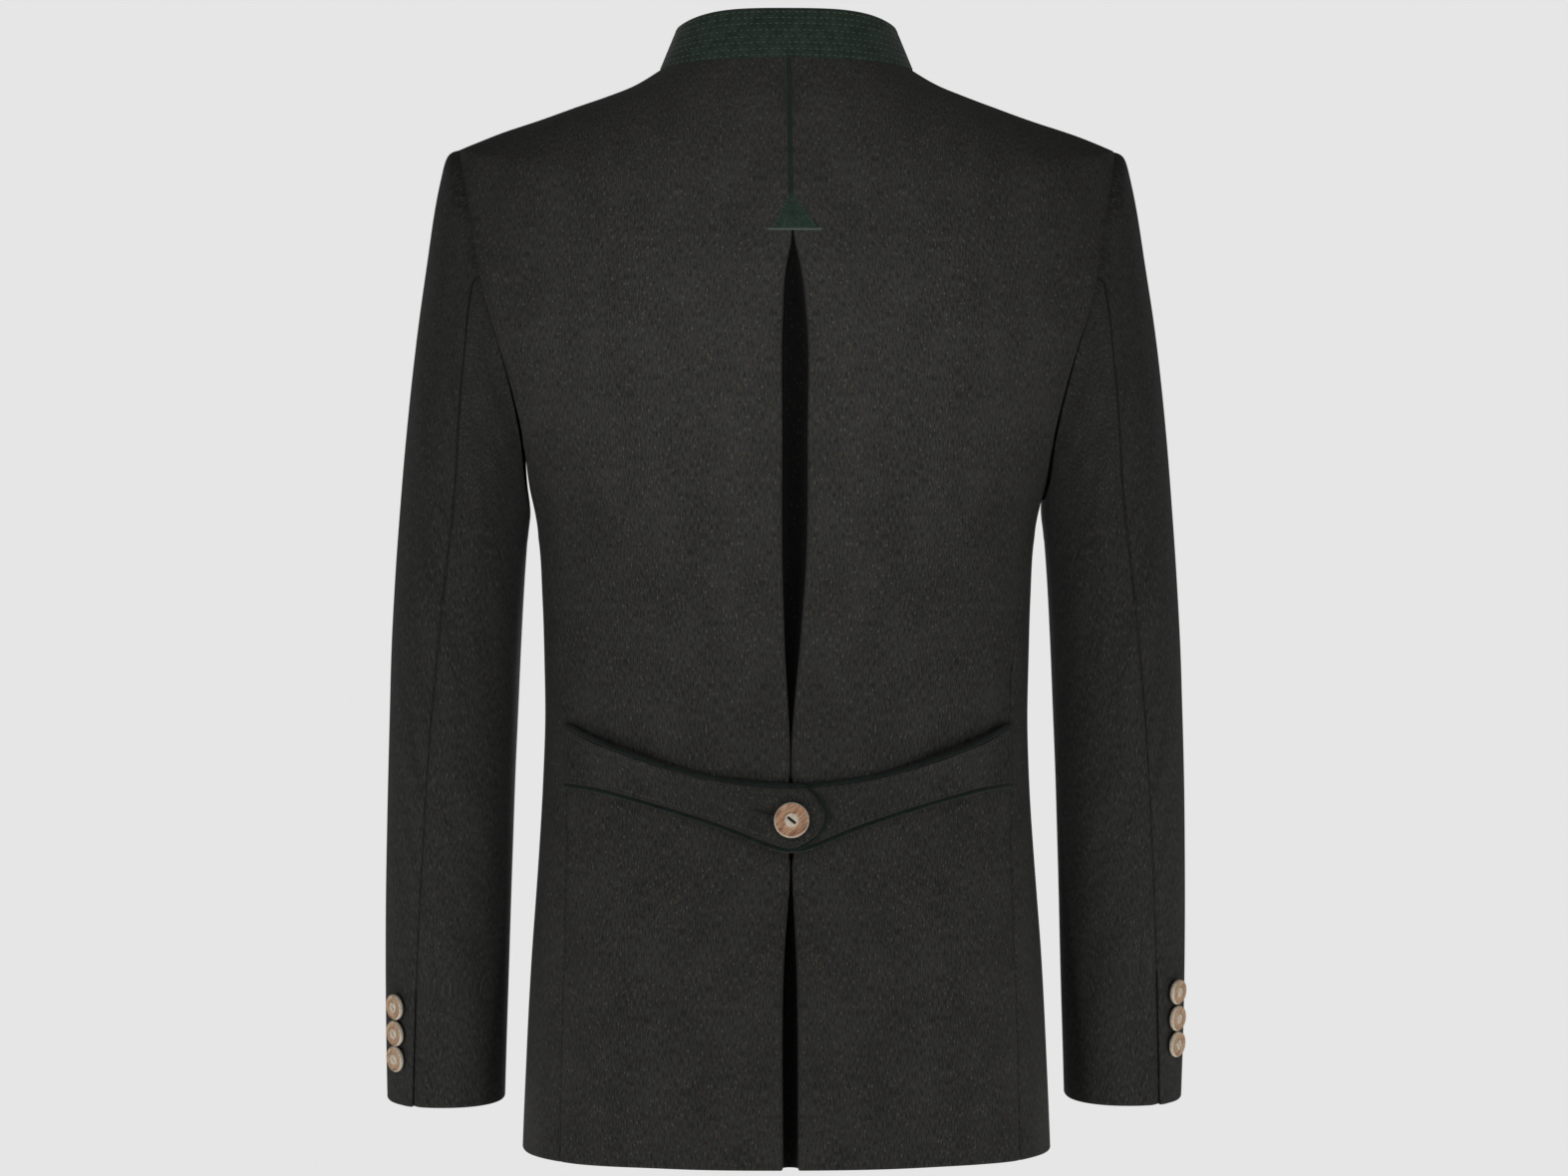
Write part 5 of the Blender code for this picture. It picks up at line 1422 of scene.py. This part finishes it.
def make_arrow():
    """The green triangle over the pleat's top, with its corded lower edge and edge stitches."""
    rows = spaced(ARROW_APEX[1] - ARROW_BASE_Z, 0.9 * MM)
    columns = spaced(ARROW_BASE_X[1] - ARROW_BASE_X[0], 1.2 * MM)
    lift = LAYER_GAP + ARROW_CLOTH + 0.3 * MM
    grid = []
    for level in rows:
        z = mix(ARROW_BASE_Z, ARROW_APEX[1] - 1 * MM, level)
        left = mix(ARROW_BASE_X[0], ARROW_APEX[0] - 1.2 * MM, level)
        right = mix(ARROW_BASE_X[1], ARROW_APEX[0] + 1.2 * MM, level)
        grid.append([upper_back_place(x, z, lift)[0] for x in mix(left, right, columns)])
    points = np.array(grid)
    make_cloth("pleat_arrow", points, 1, ARROW_CLOTH, arrow_wool,
               (PATCH_EDGE,) * 4)
    ends = np.linspace(ARROW_BASE_X[0] - 1.6 * MM, ARROW_BASE_X[1] + 1.6 * MM, 30)
    edge = np.array([upper_back_place(x, ARROW_BASE_Z - 0.7 * MM, 1.3 * MM)[0] for x in ends])
    facing = upper_back_place(0.0, ARROW_BASE_Z)[1]
    mesh = cord_mesh("pleat_arrow_edge", edge, ARROW_CORD, facing)
    add_piece("pleat_arrow_edge", mesh, green_thread)
    routes = [points[3:-4, k] + facing * STITCH_LIFT for k in (3, -4)]
    add_stitches("pleat_arrow_stitches", routes, ARROW_STITCH, green_thread, 5)


def belt_surface(side, columns, breadths, share):
    """Points in a belt half, at a share of its thickness from its inner side, and their normals."""
    grid = belt_grid(side, columns, breadths)
    normals = np.array([[normal for point, normal, offset in line] for line in grid])
    points = np.array([[point + normal * (offset + share * BELT_CLOTH) for point, normal, offset in line]
                       for line in grid])
    return points, normals


def belt_spring(own):
    """How far the upper edge of the half belt springs off the back, at a distance from the centre."""
    return BELT_SPRING * ramp(own, *SPRING_RISE) * (1 - ramp(own, *SPRING_FALL))


def make_belt(side):
    """A belt half with its piping and pick stitches."""
    name = side_name(side)
    points, normals = belt_surface(side, 60, spaced(0.040, 1.6 * MM), 1.0)
    wave = slow_wave(points[..., 0], points[..., 2], 51 + side, 0.25 * MM)
    upper_part = np.linspace(0, 1, len(points))[:, None] ** 2
    wave = wave + upper_part * belt_spring(np.abs(points[..., 0]))
    outer = make_cloth("belt_" + name, points, -side, BELT_CLOTH, belt_shaded_wool,
                       (PATCH_EDGE,) * 4, wave)
    middle, facing = belt_surface(side, 36, np.linspace(0, 1, 9), 0.5)
    middle[-1] += belt_spring(np.abs(middle[-1, :, 0]))[:, None] * facing[-1]
    route = belt_piping_route(middle, facing, side)
    for _ in range(3):
        route[1:-1] = (route[:-2] + 2 * route[1:-1] + route[2:]) / 4
    route = resample(route, np.linspace(0, 1, 200))
    node = "belt_piping_" + name
    mesh = cord_mesh(node + "_cord", route, BELT_CORD, (0, -1, 0), 0.0, 10)
    add_piece(node + "_cord", mesh, shaded_piping_wool, node)
    raised = outer + normals * STITCH_LIFT
    routes = [raised[k, 2:-4] for k in (5, -6)]
    if side < 0:
        routes.append(raised[6:-6, -4])
    add_stitches("belt_stitches_" + name, routes, PICK_STITCH, pale_thread, 7 + side)


def add_buttonhole(name, places, facing):
    """A worked buttonhole: a near-black cord along places as the slit's painted shade, with thread purled
    round it.
    """
    places = resample(np.array(places), np.linspace(0, 1, 16))
    facing = np.asarray(facing, float)
    along = unit(places[-1] - places[0])
    across = np.cross(facing, along)
    slit = cord_mesh(name + "_slit", places, SLIT, facing)
    # The slit is a cord painted near black: painted shade in the cut.
    add_piece(name + "_slit", slit, slit_painted_shade)
    turns = np.linspace(0, 2 * math.pi, 60)
    reach = np.linalg.norm(places[-1] - places[0]) / 2 + PURL_PAST_END
    share = np.clip((np.cos(turns) * reach + reach) / (2 * reach), 0, 1)
    ring = resample(places, share) + across * (np.sin(turns) * PURL_HALF_WIDTH)[:, None]
    ring = ring + facing * STITCH_LIFT
    add_stitches(name + "_purl", [ring], PURL_STITCH, dark_thread, 9)


def level_ring(flat, z):
    """A flat ring of points at one height."""
    return np.column_stack([flat, np.full(len(flat), z)])


def button_mesh(name, place, normal, size, seed):
    """A turned antler button with a lipped rim, a raised middle and an oblong hole, on a thread shank."""
    draw = np.random.default_rng(seed)
    radius, thickness = size[0] / 2, size[1]
    top = SHANK_HEIGHT + thickness
    shares = np.concatenate([BUTTON_MIDDLE_RINGS, BUTTON_OUTER_RINGS])
    angle = np.linspace(0, 2 * math.pi, BUTTON_SIDES, endpoint=False)
    circle = np.stack([np.cos(angle), np.sin(angle)], axis=1)
    uneven = 1 + 0.010 * np.sin(2 * angle + draw.uniform(0, 6))
    uneven = uneven + 0.006 * np.sin(3 * angle + draw.uniform(0, 6))
    x = shares[:, None] * np.cos(angle) * uneven
    y = shares[:, None] * np.sin(angle) * uneven
    far = np.hypot(x, y)
    oval = np.hypot((x + 0.05) / 0.37, (y + 0.02) / 0.42)
    middle = 1 - ramp(oval, 0.88, 1.12)
    height = -0.10 * MM * oval ** 2 * middle - 0.75 * MM * (1 - middle)
    height = height + 0.40 * MM * np.exp(-((far - 0.92) / 0.05) ** 2) - 0.5 * MM * ramp(far, 0.94, 1.0)
    lean = math.radians(-50 + draw.uniform(-12, 12))
    run = (x * math.cos(lean) + y * math.sin(lean)) * radius
    beside = (-x * math.sin(lean) + y * math.cos(lean)) * radius
    half_slot = 0.22 * radius
    from_slot = np.hypot(np.maximum(np.abs(run) - half_slot, 0), beside) / radius
    hole = 1 - ramp(from_slot, 0.055, 0.10)
    height = height - 1.6 * MM * hole
    rings = [np.stack([x[k] * radius, y[k] * radius, top + height[k]], axis=1) for k in range(len(shares))]
    flat = list(np.stack([x, y], axis=2))
    # The hole mask also marks where the hole's painted shade goes.
    marks = list(hole)
    for share, drop in BUTTON_EDGE:
        rings.append(level_ring(circle * (share * uneven * radius)[:, None], top - drop * thickness))
        flat.append(circle * (1.0 + 0.2 * drop))
        marks.append(np.zeros(BUTTON_SIDES))
    for z in (SHANK_HEIGHT, 0.0):
        rings.append(level_ring(circle * SHANK_DIAMETER / 2, z))
        flat.append(circle * 0.7)
        # The shank under the button is darkened by the same mark.
        marks.append(np.full(BUTTON_SIDES, 0.6))
    local = np.concatenate(rings)
    z_axis = np.asarray(normal, float)
    x_axis = unit(np.cross((0, 0, 1), z_axis))
    y_axis = np.cross(z_axis, x_axis)
    points = np.asarray(place) + local[:, :1] * x_axis + local[:, 1:2] * y_axis + local[:, 2:] * z_axis
    mesh = closed_mesh(name, points, tube_faces(len(rings), BUTTON_SIDES))
    add_map(mesh, "disc", np.concatenate(flat))
    turn = math.radians(-38 + draw.uniform(-15, 15))
    along = local[:, 0] * math.cos(turn) + local[:, 1] * math.sin(turn)
    beside = -local[:, 0] * math.sin(turn) + local[:, 1] * math.cos(turn)
    shift = draw.uniform(0, 1, 2)
    add_map(mesh, "grain", np.stack([along + shift[0], beside + shift[1]], axis=1))
    # The hole attribute carries the painted shade of the hole and the darkening of the shank.
    hole_shade = mesh.attributes.new("hole", "FLOAT", "POINT")
    hole_shade.data.foreach_set("value", np.concatenate(marks))
    return mesh


def add_button(name, place, normal, size, seed, material):
    mesh = button_mesh(name + "_antler", place, normal, size, seed)
    add_piece(name + "_antler", mesh, material, name)


def make_belt_button():
    """The button of the half belt and its buttonhole."""
    x, z = BELT_BUTTON_PLACE
    lift = belt_offset(-1, x, 0.5) + BELT_CLOTH + LAYER_GAP
    place, normal = back_place(x, z, lift)
    add_button("belt_button", place, normal, BELT_BUTTON, 4, brown_antler)
    slit = [back_place(px, pz, belt_offset(-1, px, 0.5) + BELT_CLOTH + SLIT[1])[0]
            for px, pz in BELT_BUTTONHOLE]
    add_buttonhole("belt_buttonhole", slit, normal)


def make_cuff_buttons(side):
    """Three buttons down one sleeve vent."""
    stations = np.linspace(len(SLEEVE_RINGS) - 5, len(SLEEVE_RINGS) - 1, 200)
    line = np.array([sleeve_points(j, np.array([CUFF_BUTTON_ANGLE]))[0] for j in stations])
    for number in range(3):
        z = CUFF_BUTTON_TOP_Z[side] - number * CUFF_BUTTON_PITCH
        j = stations[int(np.argmin(np.abs(line[:, 2] - z)))]
        angles = CUFF_BUTTON_ANGLE + np.array([-1, 0, 1])
        around = sleeve_points(j, angles)
        down = sleeve_points(j + 0.02, angles[1:2])[0]
        normal = unit(np.cross(down - around[1], around[2] - around[0]))
        if normal[0] < 0:
            normal = -normal
        place = (around[1] + LAYER_GAP * normal) * (side, 1, 1)
        add_button(f"cuff_button_{side_name(side)}_{number + 1}", place, normal * (side, 1, 1), CUFF_BUTTON,
                   20 + 5 * side + number, pale_antler)


def make_front_buttons():
    """The buttons and buttonholes down the front."""
    for number in range(FRONT_BUTTONS):
        z = FRONT_BUTTON_TOP_Z - number * FRONT_BUTTON_PITCH
        slope = float(slope_of(front_profile, z))
        normal = unit(np.array([0.0, 1.0, -slope]))
        middle = np.array([0.0, float(front_profile(z)), z])
        add_button(f"front_button_{number + 1}", middle + (FRONT_LAP_LIFT + LAYER_GAP) * normal, normal,
                   FRONT_BUTTON, 40 + number, brown_antler)
        slit = [middle + (x, 0, 0) + (FRONT_LAP_LIFT + rise) * normal for x, rise in FRONT_BUTTONHOLE]
        add_buttonhole(f"front_buttonhole_{number + 1}", slit, normal)


def add_lamp(name, place, aim, size, power, spread):
    lamp = bpy.data.lights.new(name, "AREA")
    lamp.shape = "SQUARE"
    lamp.size = size
    lamp.energy = power
    lamp.spread = math.radians(spread)
    stand = bpy.data.objects.new(name, lamp)
    stand.location = place
    stand.rotation_euler = (Vector(aim) - Vector(place)).to_track_quat("-Z", "Y").to_euler()
    bpy.context.scene.collection.objects.link(stand)


def light_studio():
    """Soft lamps that light the middle of the back most, one for the front, and an even pale surround."""
    for lamp in LAMPS:
        add_lamp(*lamp)
    world = bpy.data.worlds.new("studio")
    bpy.context.scene.world = world
    world.use_nodes = True
    tree = world.node_tree
    surround = tree.nodes["Background"]
    wire = Wire(tree, None)
    seen = wire.node("ShaderNodeLightPath", {}, 0)
    strength = seen * (SURROUND_SEEN - SURROUND_LIGHT) + SURROUND_LIGHT
    tree.links.new(strength.socket, surround.inputs["Strength"])
    surround.inputs["Color"].default_value = (1, 1, 1, 1)


def lay_floor():
    """A wide pale floor that glows a little, so that it looks pale from every side."""
    turns = np.linspace(0, 2 * math.pi, FLOOR_SIDES, endpoint=False)
    rim = [(FLOOR_RADIUS * math.cos(turn), FLOOR_RADIUS * math.sin(turn), FLOOR_Z) for turn in turns]
    mesh = bpy.data.meshes.new("floor")
    mesh.from_pydata(rim, [], [list(range(FLOOR_SIDES))])
    floor = bpy.data.objects.new("floor", mesh)
    material, wire, shader = start_material("pale floor", (0.72, 0.72, 0.72), 0.9, 0.0)
    place = wire.node("ShaderNodeTexCoord", {}, 3)
    mottle = place.scaled((0.3, 0.3, 0.3)).noise(3)
    plug(shader, "Base Color", mottle.rise(0.2, 0.8).tint((0.71, 0.71, 0.71), (0.73, 0.73, 0.73)))
    shader.inputs["Emission Color"].default_value = (1, 1, 1, 1)
    shader.inputs["Emission Strength"].default_value = FLOOR_GLOW
    mesh.materials.append(material)
    bpy.context.scene.collection.objects.link(floor)


def set_camera():
    """The camera of the photograph, level behind the jacket."""
    camera = bpy.data.cameras.new("camera")
    camera.sensor_width = SENSOR_WIDTH
    camera.lens = FOCAL_PIXELS / PHOTO_WIDTH * SENSOR_WIDTH
    camera.shift_x = SHIFT_PIXELS / PHOTO_WIDTH
    stand = bpy.data.objects.new("camera", camera)
    stand.location = CAMERA_PLACE
    stand.rotation_euler = (math.radians(90), 0, math.radians(CAMERA_TURN))
    bpy.context.scene.collection.objects.link(stand)
    bpy.context.scene.camera = stand


body_wool = melange_wool("grey melange cashmere", (0.041, 0.0405, 0.0375))
# Painted shade: the sleeves' cashmere is the body's made a little darker.
sleeve_shaded_wool = melange_wool("grey melange cashmere of the sleeves", (0.037, 0.037, 0.0355))
# Painted shade: the belt's cashmere is the body's made a little darker.
belt_shaded_wool = melange_wool("grey melange cashmere of the belt", (0.037, 0.037, 0.035))
# Painted shade: the underlay's cashmere is made nearly black, with few flecks, for the deep pleat opening.
pleat_shade_wool = melange_wool("grey melange cashmere inside the pleat", (0.0045, 0.0045, 0.0043), 0.2)
green_wool = felted_wool("dark green wool", (0.0235, 0.037, 0.027))
centre_wool = felted_wool("dark green wool of the centre strip", (0.015, 0.025, 0.019))
# Partly painted shade: the piping is its own dark green, darkened further for the shadow along the belt's
# edges.
shaded_piping_wool = felted_wool("dark green wool of the piping, darkened with painted shade", (0.009, 0.016, 0.013))
arrow_wool = felted_wool("dark green wool of the arrow", (0.023, 0.041, 0.031))
green_thread = sewing_thread("green thread", (0.070, 0.094, 0.074))
pale_thread = sewing_thread("grey thread", (0.080, 0.078, 0.070))
dark_thread = sewing_thread("dark thread", (0.022, 0.022, 0.021))
# Painted shade: near black for the buttonhole slits.
slit_painted_shade = sewing_thread("shaded slit", (0.004, 0.004, 0.004))
brown_antler = polished_antler("polished brown antler", 0.0)
pale_antler = polished_antler("polished pale antler", 0.55)
stitch_nodes = stitch_tree()

for body_side in (-1, 1):
    make_back(body_side)
    make_side(body_side)
    make_front(body_side)
    make_sleeve(body_side, "upper")
    make_sleeve(body_side, "under")
    make_belt(body_side)
    make_cuff_buttons(body_side)
make_underlay()
make_collar()
make_centre_piping()
make_arrow()
make_belt_button()
make_front_buttons()
set_camera()
light_studio()
lay_floor()
bpy.context.scene.view_settings.view_transform = "Standard"

bpy.context.view_layer.update()
